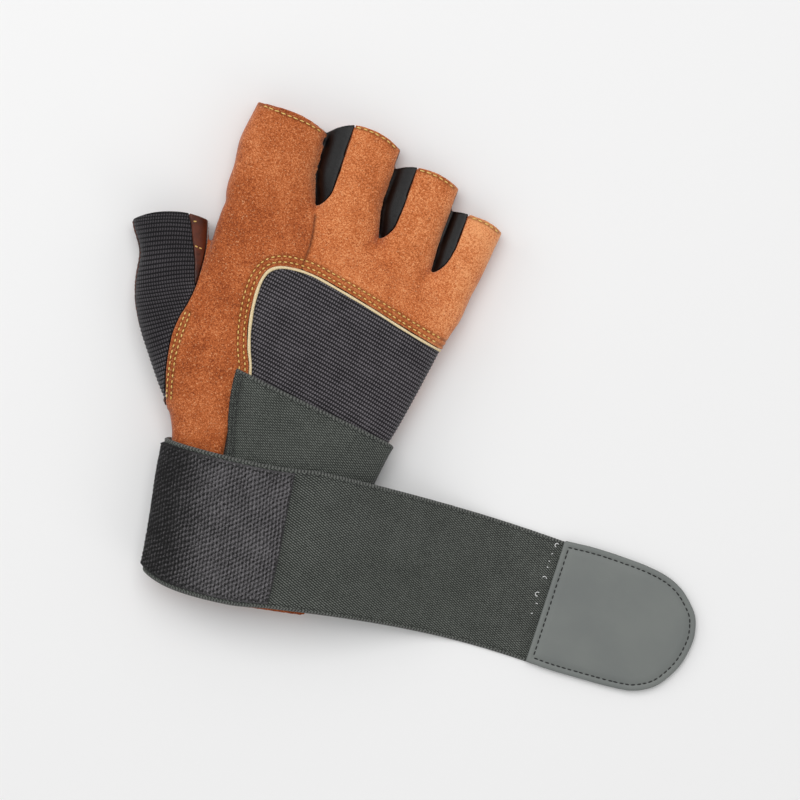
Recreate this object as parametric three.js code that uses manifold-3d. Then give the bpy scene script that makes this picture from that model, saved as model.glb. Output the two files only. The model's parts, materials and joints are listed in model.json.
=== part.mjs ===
// A half-finger weightlifting glove for the right hand, lying palm down with its wrist wrap unrolled to one side.
// The glove is a hollow shell of sewn panels: suede over the fingers and palm, ribbed knit on the back and the
// thumb, and smooth strips between the fingers. An elastic wrap starts on the back, goes once round the wrist,
// crosses the back again and runs out flat to a stiff tab.
// Millimetres. X points to the little finger's side, Y to the fingertips and Z up. The origin is on the surface
// that the glove lies on, under the middle of the palm.

import * as THREE from 'three';
import { mergeVertices } from 'three/addons/utils/BufferGeometryUtils.js';
import Module from 'manifold-3d';

const wasm = await Module();
wasm.setup();

// Driving dimensions of the hand
const KNUCKLE_WIDTH = 114;
const PALM_LENGTH = 165;
const PALM_THICKNESS = 25;
const THUMB_WIDTH = 33;
const THUMB_THICKNESS = 21;
const FINGER_GAP = 0.7;
const WEB_DEPTH = 7;

// Driving dimensions of the panels
const SUEDE_WALL = 2.0;
const KNIT_WALL = 1.2;
const STRIP_WALL = 1.4;
const SEAM_GAP = 0.3;
const PALM_SEAM_HEIGHT = 7.5;
const PIPING_WIDTH = 1.3;
const STRIP_REVEAL = 0.27;
const STRIP_HEIGHT = 0.6;
const FLAT_DEPTH = 0.6;

// Driving dimensions of the wrist wrap
const WRAP_WIDTH = 58;
const WRAP_WALL = 1.6;
const HEM_WALL = 2.4;
const WRAP_GAP = 0.5;
const HEM_WIDTH = 5;
const FREE_LENGTH = 117;
const PATCH_WALL = 1.1;
const PATCH_MARGIN = 1.8;
const TAB_LENGTH = 64;
const TAB_WIDTH = 54;
const TAB_WALL = 1.6;
const TAB_CORNER = 24;
const TAB_TURN = 4;
const TAB_OVERLAP = 6;
const HOOK_MARGIN = 3;

// Lines that part the fingers, from the thumb's side across. The x of the root, of a third of the way and of
// the hem is a share of KNUCKLE_WIDTH, and the fork's y a share of PALM_LENGTH.
const DIVIDERS = [
  { root: -0.55, third: -0.563, hem: -0.549, fork: 0.362 },
  { root: -0.212, third: -0.252, hem: -0.272, fork: 0.339 },
  { root: 0.049, third: 0.02, hem: 0.01, fork: 0.321 },
  { root: 0.272, third: 0.264, hem: 0.262, fork: 0.285 },
  { root: 0.445, third: 0.455, hem: 0.468, fork: 0.262 },
];

// The finger stubs: length from fork to hem, thickness, and how far the hem's two ends lie behind its middle.
const FINGERS = [
  { name: 'index', length: 31.8, thickness: 20, dropLeft: 1.7, dropRight: 3.8 },
  { name: 'middle', length: 39.3, thickness: 20, dropLeft: 8, dropRight: 3.9 },
  { name: 'ring', length: 36.3, thickness: 19, dropLeft: 4.6, dropRight: 3.1 },
  { name: 'little', length: 30.2, thickness: 17.5, dropLeft: 1.4, dropRight: 2.6 },
];

// Sections of the palm from cuff to knuckles. x is a share of KNUCKLE_WIDTH, y of PALM_LENGTH, thick of
// PALM_THICKNESS, and lift of the room that the wrap needs underneath.
const PALM_ROWS = [
  { leftX: -0.289, leftY: -0.735, rightX: 0.294, rightY: -0.7, thick: 0.74, lift: 1 },
  { leftX: -0.333, leftY: -0.57, rightX: 0.316, rightY: -0.545, thick: 0.78, lift: 1 },
  { leftX: -0.374, leftY: -0.442, rightX: 0.328, rightY: -0.412, thick: 0.82, lift: 1 },
  { leftX: -0.407, leftY: -0.333, rightX: 0.339, rightY: -0.273, thick: 0.86, lift: 1 },
  { leftX: -0.472, leftY: -0.248, rightX: 0.353, rightY: -0.182, thick: 0.9, lift: 1 },
  { leftX: -0.514, leftY: -0.164, rightX: 0.37, rightY: -0.121, thick: 0.94, lift: 0.8 },
  { leftX: -0.53, leftY: -0.079, rightX: 0.386, rightY: -0.048, thick: 0.98, lift: 0 },
  { leftX: -0.524, leftY: 0.024, rightX: 0.404, rightY: 0.048, thick: 1, lift: 0 },
  { leftX: -0.521, leftY: 0.133, rightX: 0.421, rightY: 0.145, thick: 1, lift: 0 },
  { leftX: -0.53, leftY: 0.25, rightX: 0.436, rightY: 0.2, thick: 0.91, lift: 0 },
  { leftX: -0.495, leftY: 0.36, rightX: 0.405, rightY: 0.262, thick: 0.62, lift: 0 },
];

// Sections of the thumb from past its hem down into the palm. x and y are shares of KNUCKLE_WIDTH and
// PALM_LENGTH, turn is the section's angle in degrees, wide and thick are shares of the thumb's two sizes.
const THUMB_ROWS = [
  { x: -0.716, y: 0.21, turn: 21, wide: 1.03, thick: 1, lift: 0 },
  { x: -0.692, y: 0.165, turn: 21, wide: 0.995, thick: 0.96, lift: 0 },
  { x: -0.643, y: 0.102, turn: 21, wide: 0.9, thick: 0.86, lift: 0 },
  { x: -0.616, y: 0.028, turn: 21, wide: 0.92, thick: 0.95, lift: 0 },
  { x: -0.575, y: -0.029, turn: 17, wide: 0.99, thick: 1.06, lift: 0 },
  { x: -0.525, y: -0.082, turn: 19, wide: 1.01, thick: 1.1, lift: 0.2 },
  { x: -0.464, y: -0.136, turn: 23, wide: 0.98, thick: 1.05, lift: 0.8 },
  { x: -0.412, y: -0.194, turn: 25, wide: 0.87, thick: 0.95, lift: 1.2 },
  { x: -0.368, y: -0.25, turn: 28, wide: 0.68, thick: 0.8, lift: 1.5 },
];
const THUMB_HEM = { row: 1, bulge: 0.13 };

// Soft dents and swellings of the back. x, y as above, radius of KNUCKLE_WIDTH and depth of PALM_THICKNESS.
const DENTS = [
  { name: 'hollow before the ring and little fingers', x: 0.24, y: 0.2, radius: 0.11, depth: 0.07 },
  { name: 'hollow before the middle and ring fingers', x: 0.03, y: 0.25, radius: 0.08, depth: 0.05 },
  { name: 'fold beside the seam', x: -0.17, y: 0.25, radius: 0.07, depth: 0.05 },
  { name: 'hollow of the thumb strip', x: -0.42, y: 0.0, radius: 0.12, depth: 0.04 },
  { name: 'swelling of the knit over the wrap', x: 0.21, y: -0.1, radius: 0.06, depth: -0.06 },
];

// Borders between the panels, as shares of KNUCKLE_WIDTH and PALM_LENGTH, each running on past the glove.
const INSERT_BORDER = [
  [-0.16, -0.8], [-0.175, -0.3], [-0.222, -0.116], [-0.256, -0.065], [-0.283, -0.01], [-0.302, 0.06],
  [-0.303, 0.112], [-0.288, 0.142], [-0.256, 0.16], [-0.2, 0.17], [-0.13, 0.172], [-0.03, 0.163],
  [0.13, 0.144], [0.3, 0.121], [0.42, 0.109], [0.6, 0.1],
];
const THUMB_BORDER = [
  [-0.72, 0.42], [-0.61, 0.28], [-0.56, 0.2], [-0.53, 0.125], [-0.517, 0.05], [-0.519, -0.005],
  [-0.53, -0.055], [-0.532, -0.1], [-0.52, -0.15], [-0.498, -0.21], [-0.47, -0.262], [-0.448, -0.292],
  [-0.5, -0.4],
];
const THUMB_SIDE_BORDER = [
  [-0.668, 0.26], [-0.639, 0.207], [-0.612, 0.178], [-0.589, 0.144], [-0.555, 0.098], [-0.528, 0.05],
  [-0.48, -0.01],
];
const FINGER_SEAM = [[-0.2, 0.313], [-0.186, 0.277], [-0.176, 0.239], [-0.172, 0.13], [-0.172, -0.8]];

// Path of the wrap round the wrist. turn is the share of a lap from the little finger's side over the back, so
// it falls as the wrap goes round. edge is the y of the edge nearer the fingers, a share of PALM_LENGTH, and
// spread the wrap's extent along Y, a share of WRAP_WIDTH.
const WRAP_ROWS = [
  { turn: 0.326, edge: -0.1205, spread: 0.995 },
  { turn: 0.25, edge: -0.133, spread: 1.01 },
  { turn: 0.0, edge: -0.1655, spread: 0.995 },
  { turn: -0.25, edge: -0.25, spread: 0.97 },
  { turn: -0.44, edge: -0.338, spread: 0.93 },
  { turn: -0.52, edge: -0.348, spread: 0.965 },
  { turn: -0.62, edge: -0.341, spread: 1.025 },
  { turn: -0.75, edge: -0.32, spread: 1.05 },
  { turn: -0.86, edge: -0.289, spread: 1.055 },
];
const WRAP_END = { distal: -0.2345, proximal: -0.5636 };
const WRAP_DROP = { from: 0.02, to: 0.72 };
const PATCH_TURNS = { from: -0.45, distalEnd: -0.808, proximalEnd: -0.846 };

// How finely the surfaces are faceted
const PALM_GRID = { stations: 16, segments: 32 };
const FINGER_GRID = { stations: 6, segments: 16 };
const THUMB_GRID = { stations: 10, segments: 18 };
const WRAP_GRID = { free: 14, across: 3 };
const PALM_ROUNDNESS = 2.7;
const FINGER_ROUNDNESS = 2.5;
const BORDER_POINTS = 26;

// Sizes that follow from the driving ones
const WRAP_ROOM = FLAT_DEPTH + WRAP_GAP + WRAP_WALL;
const WRAP_SECOND_LAYER = WRAP_GAP + HEM_WALL + SEAM_GAP;
const KNIT_STEP = SUEDE_WALL - KNIT_WALL;
const STRIP_STEP = SUEDE_WALL - STRIP_WALL;
const FAR = 2 * (KNUCKLE_WIDTH + PALM_LENGTH);

const place = ([x, y]) => new THREE.Vector2(x * KNUCKLE_WIDTH, y * PALM_LENGTH);
const mix = THREE.MathUtils.lerp;
const hemY = (i) =>
  ((DIVIDERS[i].fork + DIVIDERS[i + 1].fork) / 2) * PALM_LENGTH + FINGERS[i].length;

// Solids and geometries

function solidOf(geometry) {
  geometry.deleteAttribute('normal');
  geometry.deleteAttribute('uv');
  const merged = mergeVertices(geometry, 1e-4);
  return new wasm.Manifold(
    new wasm.Mesh({
      numProp: 3,
      vertProperties: merged.attributes.position.array,
      triVerts: new Uint32Array(merged.index.array),
    }),
  );
}

// The main body of a cut, without the slivers that a cut along a wall leaves beside it.
function mainBody(solid) {
  const bodies = solid.decompose();
  return bodies.reduce((a, b) => (b.volume() > a.volume() ? b : a));
}

function meshOf(name, solid, material) {
  const cut = mainBody(solid).getMesh();
  const geometry = new THREE.BufferGeometry();
  geometry.setAttribute('position', new THREE.BufferAttribute(cut.vertProperties.slice(), 3));
  geometry.setIndex(new THREE.BufferAttribute(cut.triVerts.slice(), 1));
  geometry.computeVertexNormals();
  const mesh = new THREE.Mesh(geometry, material);
  mesh.name = name;
  return mesh;
}

function prism(outline, low, high) {
  const shape = new THREE.Shape(outline);
  const geometry = new THREE.ExtrudeGeometry(shape, { depth: high - low, bevelEnabled: false });
  return solidOf(geometry.translate(0, 0, low));
}

function slab(low, high) {
  return solidOf(new THREE.BoxGeometry(FAR, FAR, high - low).translate(0, 0, (low + high) / 2));
}

function union(solids) {
  return solids.reduce((a, b) => a.add(b));
}

// A closed grid of quads from rings of points, with a fan on each end
function ringGrid(rings) {
  const count = rings[0].length;
  const points = rings.flat();
  const index = [];
  for (let r = 0; r + 1 < rings.length; r++) {
    for (let k = 0; k < count; k++) {
      const a = r * count + k;
      const b = r * count + ((k + 1) % count);
      index.push(a, b, b + count, a, b + count, a + count);
    }
  }
  for (const [ring, start] of [[rings[0], 0], [rings.at(-1), (rings.length - 1) * count]]) {
    const centre = points.length;
    points.push(ring.reduce((sum, p) => sum.add(p), new THREE.Vector3()).divideScalar(count));
    for (let k = 0; k < count; k++) {
      const a = start + k;
      const b = start + ((k + 1) % count);
      index.push(...(start === 0 ? [centre, b, a] : [centre, a, b]));
    }
  }
  const geometry = new THREE.BufferGeometry().setFromPoints(points);
  geometry.setIndex(index);
  return solidOf(geometry);
}

// The rings may run either way, so they are taken in the order that turns the faces outward.
function loft(rings) {
  const solid = ringGrid(rings);
  return solid.volume() > 0 ? solid : ringGrid(rings.toReversed());
}

// The outline of a flattened tube
class FlatRing extends THREE.Curve {
  constructor(halfWidth, halfHeight, roundness) {
    super();
    Object.assign(this, { halfWidth, halfHeight, power: 2 / roundness });
  }

  getPoint(t, target = new THREE.Vector3()) {
    const c = Math.cos(2 * Math.PI * t);
    const s = Math.sin(2 * Math.PI * t);
    return target.set(
      this.halfWidth * Math.sign(c) * Math.abs(c) ** this.power,
      this.halfHeight * Math.sign(s) * Math.abs(s) ** this.power,
      0,
    );
  }
}

// How far the back is pressed in at a place. Only the upper side feels it.
function dentAt(x, y) {
  return DENTS.reduce((sum, dent) => {
    const [dx, dy] = [x - dent.x * KNUCKLE_WIDTH, y - dent.y * PALM_LENGTH];
    const spread = (dx * dx + dy * dy) / (dent.radius * KNUCKLE_WIDTH) ** 2;
    return sum + dent.depth * PALM_THICKNESS * Math.exp(-spread);
  }, 0);
}

// A tube through the hand: two plan curves for its sides, whose z holds the thickness and the lift.
class Tube {
  constructor(rows, roundness) {
    this.left = new THREE.CatmullRomCurve3(rows.map((r) => new THREE.Vector3(...r.left, r.thick)));
    this.right = new THREE.CatmullRomCurve3(rows.map((r) => new THREE.Vector3(...r.right, r.lift)));
    this.roundness = roundness;
  }

  section(along) {
    const left = this.left.getPoint(along);
    const right = this.right.getPoint(along);
    const across = new THREE.Vector2(right.x - left.x, right.y - left.y);
    const bottom = right.z - FLAT_DEPTH;
    return {
      middle: new THREE.Vector2((left.x + right.x) / 2, (left.y + right.y) / 2),
      side: across.clone().normalize(),
      halfWidth: across.length() / 2,
      halfHeight: left.z / 2,
      centre: bottom + left.z / 2,
    };
  }

  ring(section, outward) {
    return new FlatRing(section.halfWidth + outward, section.halfHeight + outward, this.roundness);
  }

  lift(section, p) {
    const x = section.middle.x + section.side.x * p.x;
    const y = section.middle.y + section.side.y * p.x;
    const upper = THREE.MathUtils.clamp(p.y / section.halfHeight, 0, 1);
    return new THREE.Vector3(x, y, section.centre + p.y - upper * dentAt(x, y));
  }

  // A point of the surface: along from 0 to 1, and turn, the share of a lap from the right side over the top.
  point(along, turn, outward) {
    const section = this.section(along);
    const lap = turn - Math.floor(turn);
    return this.lift(section, this.ring(section, outward).getPointAt(lap));
  }

  // The tube's end draws in by as much as its sides do.
  solid(outward, grid) {
    const rings = [];
    const reach = 1 + outward / this.left.getLength();
    for (let k = 0; k <= grid.stations; k++) {
      const section = this.section((reach * k) / grid.stations);
      const ring = this.ring(section, outward).getSpacedPoints(grid.segments).slice(0, -1);
      rings.push(ring.map((p) => this.lift(section, p)));
    }
    return loft(rings);
  }
}

// The hand's tubes

const palmTube = new Tube(
  PALM_ROWS.map((r) => ({
    left: [r.leftX * KNUCKLE_WIDTH, r.leftY * PALM_LENGTH],
    right: [r.rightX * KNUCKLE_WIDTH, r.rightY * PALM_LENGTH],
    thick: r.thick * PALM_THICKNESS,
    lift: r.lift * WRAP_ROOM,
  })),
  PALM_ROUNDNESS,
);

const thumbTube = new Tube(
  THUMB_ROWS.map((r) => {
    const [x, y] = [r.x * KNUCKLE_WIDTH, r.y * PALM_LENGTH];
    const angle = THREE.MathUtils.degToRad(r.turn);
    const half = (r.wide * THUMB_WIDTH) / 2;
    const [dx, dy] = [half * Math.cos(angle), half * Math.sin(angle)];
    return {
      left: [x - dx, y - dy],
      right: [x + dx, y + dy],
      thick: r.thick * THUMB_THICKNESS,
      lift: r.lift * WRAP_ROOM,
    };
  }),
  FINGER_ROUNDNESS,
);

// A divider's x at a share of the way from its fork to the hem
function dividerX(divider, share) {
  const { root, third, hem } = divider;
  const low = mix(root, third, Math.min(share * 3, 1));
  const high = mix(third, hem, Math.max((share * 3 - 1) / 2, 0));
  return (share < 1 / 3 ? low : high) * KNUCKLE_WIDTH;
}

// Where a finger tube lies between its dividers: buried in the palm, free, and on past its hem
const FINGER_ROWS = [
  { share: -0.8, tuck: 0.06, thick: 0.8 },
  { share: -0.4, tuck: 0.008, thick: 0.99 },
  { share: 0, tuck: 0.001, thick: 1.01 },
  { share: 0.34, tuck: 0, thick: 0.99 },
  { share: 0.7, tuck: 0, thick: 0.97 },
  { share: 1, tuck: 0, thick: 0.95 },
  { share: 1.25, tuck: 0, thick: 0.95 },
];

const fingerTubes = FINGERS.map((finger, i) => {
  const sideOf = (divider, row, inward) => {
    const fork = divider.fork * PALM_LENGTH;
    const x = dividerX(divider, THREE.MathUtils.clamp(row.share, 0, 1));
    const y = fork + row.share * (hemY(i) - fork);
    return [x + inward * (FINGER_GAP / 2 + row.tuck * KNUCKLE_WIDTH), y];
  };
  const rows = FINGER_ROWS.map((row) => ({
    left: sideOf(DIVIDERS[i], row, 1),
    right: sideOf(DIVIDERS[i + 1], row, -1),
    thick: row.thick * finger.thickness,
    lift: 0,
  }));
  return new Tube(rows, FINGER_ROUNDNESS);
});

// The whole hand, grown outward or shrunk inward, flat where it rests
function handForm(outward) {
  const tubes = [
    palmTube.solid(outward, PALM_GRID),
    thumbTube.solid(outward, THUMB_GRID),
    ...fingerTubes.map((tube) => tube.solid(outward, FINGER_GRID)),
  ];
  return union(tubes).intersect(slab(-outward, FAR));
}

// The palm tube ends in a wall at the forks, so the hollow stops short of it by the wall's thickness.
const outerForm = handForm(0);
const hollow = handForm(-SUEDE_WALL);
const suedeShell = outerForm.subtract(hollow);
const knitShell = handForm(-KNIT_STEP).subtract(hollow);
const stripShell = handForm(-STRIP_STEP).subtract(hollow);

// Plan regions

// A smooth border through the chosen places, moved sideways by inset to the left of its direction.
function border(shares, inset = 0) {
  const curve = new THREE.SplineCurve(shares.map(place));
  return curve.getSpacedPoints(BORDER_POINTS).map((p, k) => {
    const tangent = curve.getTangentAt(k / BORDER_POINTS);
    return new THREE.Vector2(p.x - tangent.y * inset, p.y + tangent.x * inset);
  });
}

// The knit insert lies right of and below its border.
function insertRegion(inset) {
  const corner = new THREE.Vector2(FAR / 2, -FAR / 2);
  const line = border(INSERT_BORDER, -inset);
  return prism([...line, new THREE.Vector2(FAR / 2, line.at(-1).y), corner, new THREE.Vector2(line[0].x, -FAR / 2)], -FAR, FAR);
}

// The thumb's panels lie left of their border.
function thumbRegion(inset) {
  const line = border(THUMB_BORDER, -inset);
  const far = -FAR / 2;
  return prism([...line, new THREE.Vector2(far, line.at(-1).y), new THREE.Vector2(far, line[0].y)], -FAR, FAR);
}

// The thumb's knit lies left of the leather that wraps up its inner side.
function thumbKnitRegion(inset) {
  const line = border(THUMB_SIDE_BORDER, -inset);
  const far = -FAR / 2;
  return prism([...line, new THREE.Vector2(line.at(-1).x, far), new THREE.Vector2(far, far), new THREE.Vector2(far, line[0].y)], PALM_SEAM_HEIGHT + inset / 2, FAR);
}

// The index panel lies left of the first divider and of the seam below it.
function indexRegion(inset) {
  const upper = [1.6, 1, 0.6, 1 / 3, 0].map((share) => {
    const y = DIVIDERS[1].fork * PALM_LENGTH + share * FINGERS[0].length;
    return new THREE.Vector2(dividerX(DIVIDERS[1], Math.min(share, 1)) - inset, y);
  });
  const lower = FINGER_SEAM.map(place).map((p) => p.setX(p.x - inset));
  const far = -FAR / 2;
  return prism([...upper, ...lower, new THREE.Vector2(far, lower.at(-1).y), new THREE.Vector2(far, upper[0].y)], -FAR, FAR);
}

// A strip covers the far finger's near side up to its top, and the near finger's far side up to STRIP_HEIGHT.
// The web at the fork joins the two.
function stripRegion(i, inset) {
  const divider = DIVIDERS[i];
  const fork = divider.fork * PALM_LENGTH;
  const hem = hemY(i);
  const wall = 2 * SUEDE_WALL - inset;
  const top = STRIP_HEIGHT * FINGERS[i - 1].thickness - inset;
  const reveal = STRIP_REVEAL * (dividerX(DIVIDERS[i + 1], 1) - dividerX(divider, 1));
  const shares = [0, 0.06, 0.12, 0.2, 0.3, 0.45, 0.7, 1.8];
  const edge = (share, shift) => {
    const x = dividerX(divider, Math.min(share, 1)) + shift;
    return new THREE.Vector2(x, fork + inset + share * (hem - fork));
  };
  const farSide = (s) => edge(s, SUEDE_WALL / 2 - inset + reveal * (1 - (1 - Math.min(s, 1)) ** 6));
  const upper = [...shares.map(farSide), ...shares.toReversed().map((s) => edge(s, inset - FINGER_GAP / 2))];
  const lower = [...shares.map((s) => edge(s, 0)), ...shares.toReversed().map((s) => edge(s, -wall))];
  const web = [
    edge(0, -wall).setY(fork - WEB_DEPTH + inset),
    edge(0, wall).setY(fork - WEB_DEPTH + inset),
    edge(0, wall).setY(fork + SUEDE_WALL),
    edge(0, -wall).setY(fork + SUEDE_WALL),
  ];
  return union([prism(upper, -FAR, FAR), prism(lower, -FAR, top), prism(web, -FAR, top)]);
}

// Material past a hem, beyond an arc that is highest at the middle of the finger
function hemCutter(left, right, top, dropLeft, dropRight) {
  const margin = FINGER_GAP / 2;
  const outline = [];
  for (let k = -10; k <= 10; k++) {
    const u = k / 10;
    const x = mix(left - margin, right + margin, (u + 1) / 2);
    outline.push(new THREE.Vector2(x, top - (u < 0 ? dropLeft : dropRight) * Math.abs(u) ** 2.2));
  }
  outline.push(new THREE.Vector2(right + margin, FAR / 2), new THREE.Vector2(left - margin, FAR / 2));
  return prism(outline, -FAR, FAR);
}

function thumbHemCutter() {
  const row = THUMB_ROWS[THUMB_HEM.row];
  const half = 0.54 * THUMB_WIDTH;
  const bulge = THUMB_HEM.bulge * THUMB_WIDTH;
  return hemCutter(-half, half, bulge, bulge, bulge)
    .rotate([0, 0, row.turn])
    .translate([row.x * KNUCKLE_WIDTH, row.y * PALM_LENGTH, 0]);
}

// The cuff follows the wrap's lower edge, a little inside it.
const CUFF_LINE = [[-0.6, -0.665], [-0.32, -0.69], [-0.13, -0.7], [0.05, -0.686], [0.32, -0.645], [0.6, -0.61]];
function cuffCutter() {
  const line = new THREE.SplineCurve(CUFF_LINE.map(place)).getPoints(24);
  return prism([...line, new THREE.Vector2(line.at(-1).x, -FAR / 2), new THREE.Vector2(line[0].x, -FAR / 2)], -FAR, FAR);
}

const cutters = union([
  cuffCutter(),
  thumbHemCutter(),
  ...FINGERS.map((finger, i) =>
    hemCutter(dividerX(DIVIDERS[i], 1), dividerX(DIVIDERS[i + 1], 1), hemY(i), finger.dropLeft, finger.dropRight),
  ),
]);

// Panels of the shell

const lowerSide = slab(-FAR, PALM_SEAM_HEIGHT);
const upperSide = slab(PALM_SEAM_HEIGHT + SEAM_GAP, FAR);
const thumbCut = thumbRegion(0);
const strips = [1, 2, 3];
const suede = suedeShell.subtract(cutters);
const hand = suede.subtract(thumbCut);
const handBack = hand
  .intersect(upperSide)
  .subtract(insertRegion(0))
  .subtract(union(strips.map((i) => stripRegion(i, 0))));
const knit = knitShell.subtract(cutters);
const thumbArea = thumbRegion(SEAM_GAP);

const panels = {
  index_panel: handBack.intersect(indexRegion(0)),
  knuckle_panel: handBack.subtract(indexRegion(-SEAM_GAP)),
  palm_panel: hand.intersect(lowerSide),
  knit_insert: knit.intersect(upperSide).intersect(insertRegion(2 * SEAM_GAP + PIPING_WIDTH)),
  insert_piping: suede
    .intersect(upperSide)
    .intersect(insertRegion(SEAM_GAP))
    .subtract(insertRegion(SEAM_GAP + PIPING_WIDTH)),
  thumb_back: knit.intersect(thumbArea).intersect(thumbKnitRegion(SEAM_GAP)),
  thumb_leather: suede.intersect(thumbArea).subtract(thumbKnitRegion(0)),
};
for (const i of strips) {
  const name = `finger_strip_${FINGERS[i - 1].name}_${FINGERS[i].name}`;
  panels[name] = stripShell.subtract(cutters).intersect(upperSide).intersect(stripRegion(i, SEAM_GAP));
}

// The wrist wrap

// A band of rows of points: each station holds the lower and the upper surface's points across the band.
function band(stations) {
  return loft(stations.map(({ lower, upper }) => [...lower, ...upper.toReversed()]));
}

// The share along the palm tube at which its surface has the wanted y
function alongAt(turn, y) {
  let [low, high] = [0, 1];
  for (let k = 0; k < 24; k++) {
    const middle = (low + high) / 2;
    if (palmTube.point(middle, turn, 0).y < y) low = middle;
    else high = middle;
  }
  return (low + high) / 2;
}

const wrapCurve = new THREE.CatmullRomCurve3(
  WRAP_ROWS.map((r) => new THREE.Vector3(r.turn, r.edge * PALM_LENGTH, r.spread * WRAP_WIDTH)),
);

// The wrap's edge and spread at a turn, by its chosen rows
function wrapAt(turn) {
  let [low, high] = [0, 1];
  for (let k = 0; k < 24; k++) {
    const middle = (low + high) / 2;
    if (wrapCurve.getPoint(middle).x > turn) low = middle;
    else high = middle;
  }
  const { y, z } = wrapCurve.getPoint((low + high) / 2);
  return { edge: y, spread: z };
}

// How far the wrap lies off the hand: on it during the first lap, and then on its own first layer.
function layerAt(turn) {
  const climb = THREE.MathUtils.smoothstep(-turn, 0.46, 0.6);
  return mix(WRAP_GAP, WRAP_SECOND_LAYER, climb);
}

// A row of points across the wrap, on a surface that lies outward of the hand
function acrossWrap(turnOf, outward, marginNear = 0, marginFar = 0) {
  const points = [];
  for (let j = 0; j <= WRAP_GRID.across; j++) {
    const share = j / WRAP_GRID.across;
    const turn = turnOf(share);
    const { edge, spread } = wrapAt(turn);
    const y = mix(edge - marginNear, edge - spread + marginFar, share);
    points.push(palmTube.point(alongAt(turn, y), turn, outward));
  }
  return points;
}

const firstTurn = WRAP_ROWS[0].turn;
const lastTurn = WRAP_ROWS.at(-1).turn;
const wristSection = palmTube.section(0.35);
const hemTurn = HEM_WIDTH / (4 * (wristSection.halfWidth + wristSection.halfHeight));

function wrapStations() {
  const stations = [];
  const turns = [firstTurn, firstTurn - hemTurn / 2, firstTurn - hemTurn * 0.98, firstTurn - hemTurn];
  const facet = 1 / PALM_GRID.segments;
  for (let k = Math.floor(turns.at(-1) / facet); k * facet > lastTurn; k--) {
    turns.push(k * facet);
  }
  turns.push(lastTurn);
  turns.forEach((turn, k) => {
    const wall = k < 3 ? HEM_WALL : WRAP_WALL;
    stations.push({
      lower: acrossWrap(() => turn, layerAt(turn)),
      upper: acrossWrap(() => turn, layerAt(turn) + wall),
    });
  });
  return stations;
}

// The free run leaves the back level, sinks to the surface and runs on to the tab.
function freeStations(last) {
  const stations = [];
  const endX = last.lower[0].x + FREE_LENGTH;
  for (let k = 1; k <= WRAP_GRID.free; k++) {
    const share = k / WRAP_GRID.free;
    const sink = THREE.MathUtils.smoothstep(share, WRAP_DROP.from, WRAP_DROP.to);
    const row = (points, floor) =>
      points.map((p, j) => {
        const endY = mix(WRAP_END.distal, WRAP_END.proximal, j / WRAP_GRID.across) * PALM_LENGTH;
        const bend = (1 - share) ** 1.8;
        const x = mix(p.x, endX, share);
        return new THREE.Vector3(x, mix(endY, p.y, bend), mix(p.z, floor, sink));
      });
    stations.push({ lower: row(last.lower, 0), upper: row(last.upper, WRAP_WALL) });
  }
  return stations;
}

const lapStations = wrapStations();
const allStations = [...lapStations, ...freeStations(lapStations.at(-1))];
const wristWrap = band(allStations);

function loopPatch() {
  const stations = [];
  const steps = 20;
  for (let k = 0; k <= steps; k++) {
    const turnOf = (share) => {
      const end = mix(PATCH_TURNS.distalEnd, PATCH_TURNS.proximalEnd, share);
      return mix(PATCH_TURNS.from, end, k / steps);
    };
    const turn = turnOf(0.5);
    const seat = layerAt(turn) + WRAP_WALL + SEAM_GAP;
    stations.push({
      lower: acrossWrap(turnOf, seat, PATCH_MARGIN, PATCH_MARGIN),
      upper: acrossWrap(turnOf, seat + PATCH_WALL, PATCH_MARGIN, PATCH_MARGIN),
    });
  }
  return band(stations);
}

// The tab at the wrap's end, with its hook pad underneath

function tabOutline(start, margin) {
  const half = TAB_WIDTH / 2 - margin;
  const end = TAB_LENGTH - margin;
  const corner = TAB_CORNER - margin;
  const shape = new THREE.Shape();
  shape.moveTo(start, -half);
  shape.lineTo(end - corner, -half);
  shape.absarc(end - corner, corner - half, corner, -Math.PI / 2, 0);
  shape.absarc(end - corner, half - corner, corner, 0, Math.PI / 2);
  shape.lineTo(start, half);
  return shape;
}

const wrapEnd = allStations.at(-1).lower;
const tabPlace = {
  x: wrapEnd[0].x - TAB_OVERLAP,
  y: (wrapEnd[0].y + wrapEnd.at(-1).y) / 2,
};

function tabPlate(outline, low, wall) {
  const geometry = new THREE.ExtrudeGeometry(outline, { depth: wall, bevelEnabled: false, curveSegments: 12 });
  return solidOf(geometry.translate(0, 0, low));
}

function tabPiece(name, solid, material) {
  const mesh = meshOf(name, solid, material);
  mesh.position.set(tabPlace.x, tabPlace.y, 0);
  mesh.rotation.z = THREE.MathUtils.degToRad(TAB_TURN);
  return mesh;
}

// Materials

const finish = (color, roughness, metalness = 0) =>
  new THREE.MeshStandardMaterial({ color, roughness, metalness });
const materials = {
  index_panel: finish(0xb0602f, 0.95),
  knuckle_panel: finish(0xc47038, 0.95),
  palm_panel: finish(0xa8592b, 0.95),
  thumb_leather: finish(0x6a3016, 0.55),
  knit: finish(0x232227, 0.9),
  strip: finish(0x141216, 0.5),
  piping: finish(0xe8d8a8, 0.8),
  elastic: finish(0x393d39, 0.92),
  patch: finish(0x1c1a1c, 0.95),
  tab: finish(0x737876, 0.55),
};
const materialFor = (name) => {
  if (name.startsWith('finger_strip')) return materials.strip;
  if (name === 'knit_insert' || name === 'thumb_back') return materials.knit;
  if (name === 'insert_piping') return materials.piping;
  return materials[name];
};

// The assembly

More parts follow.
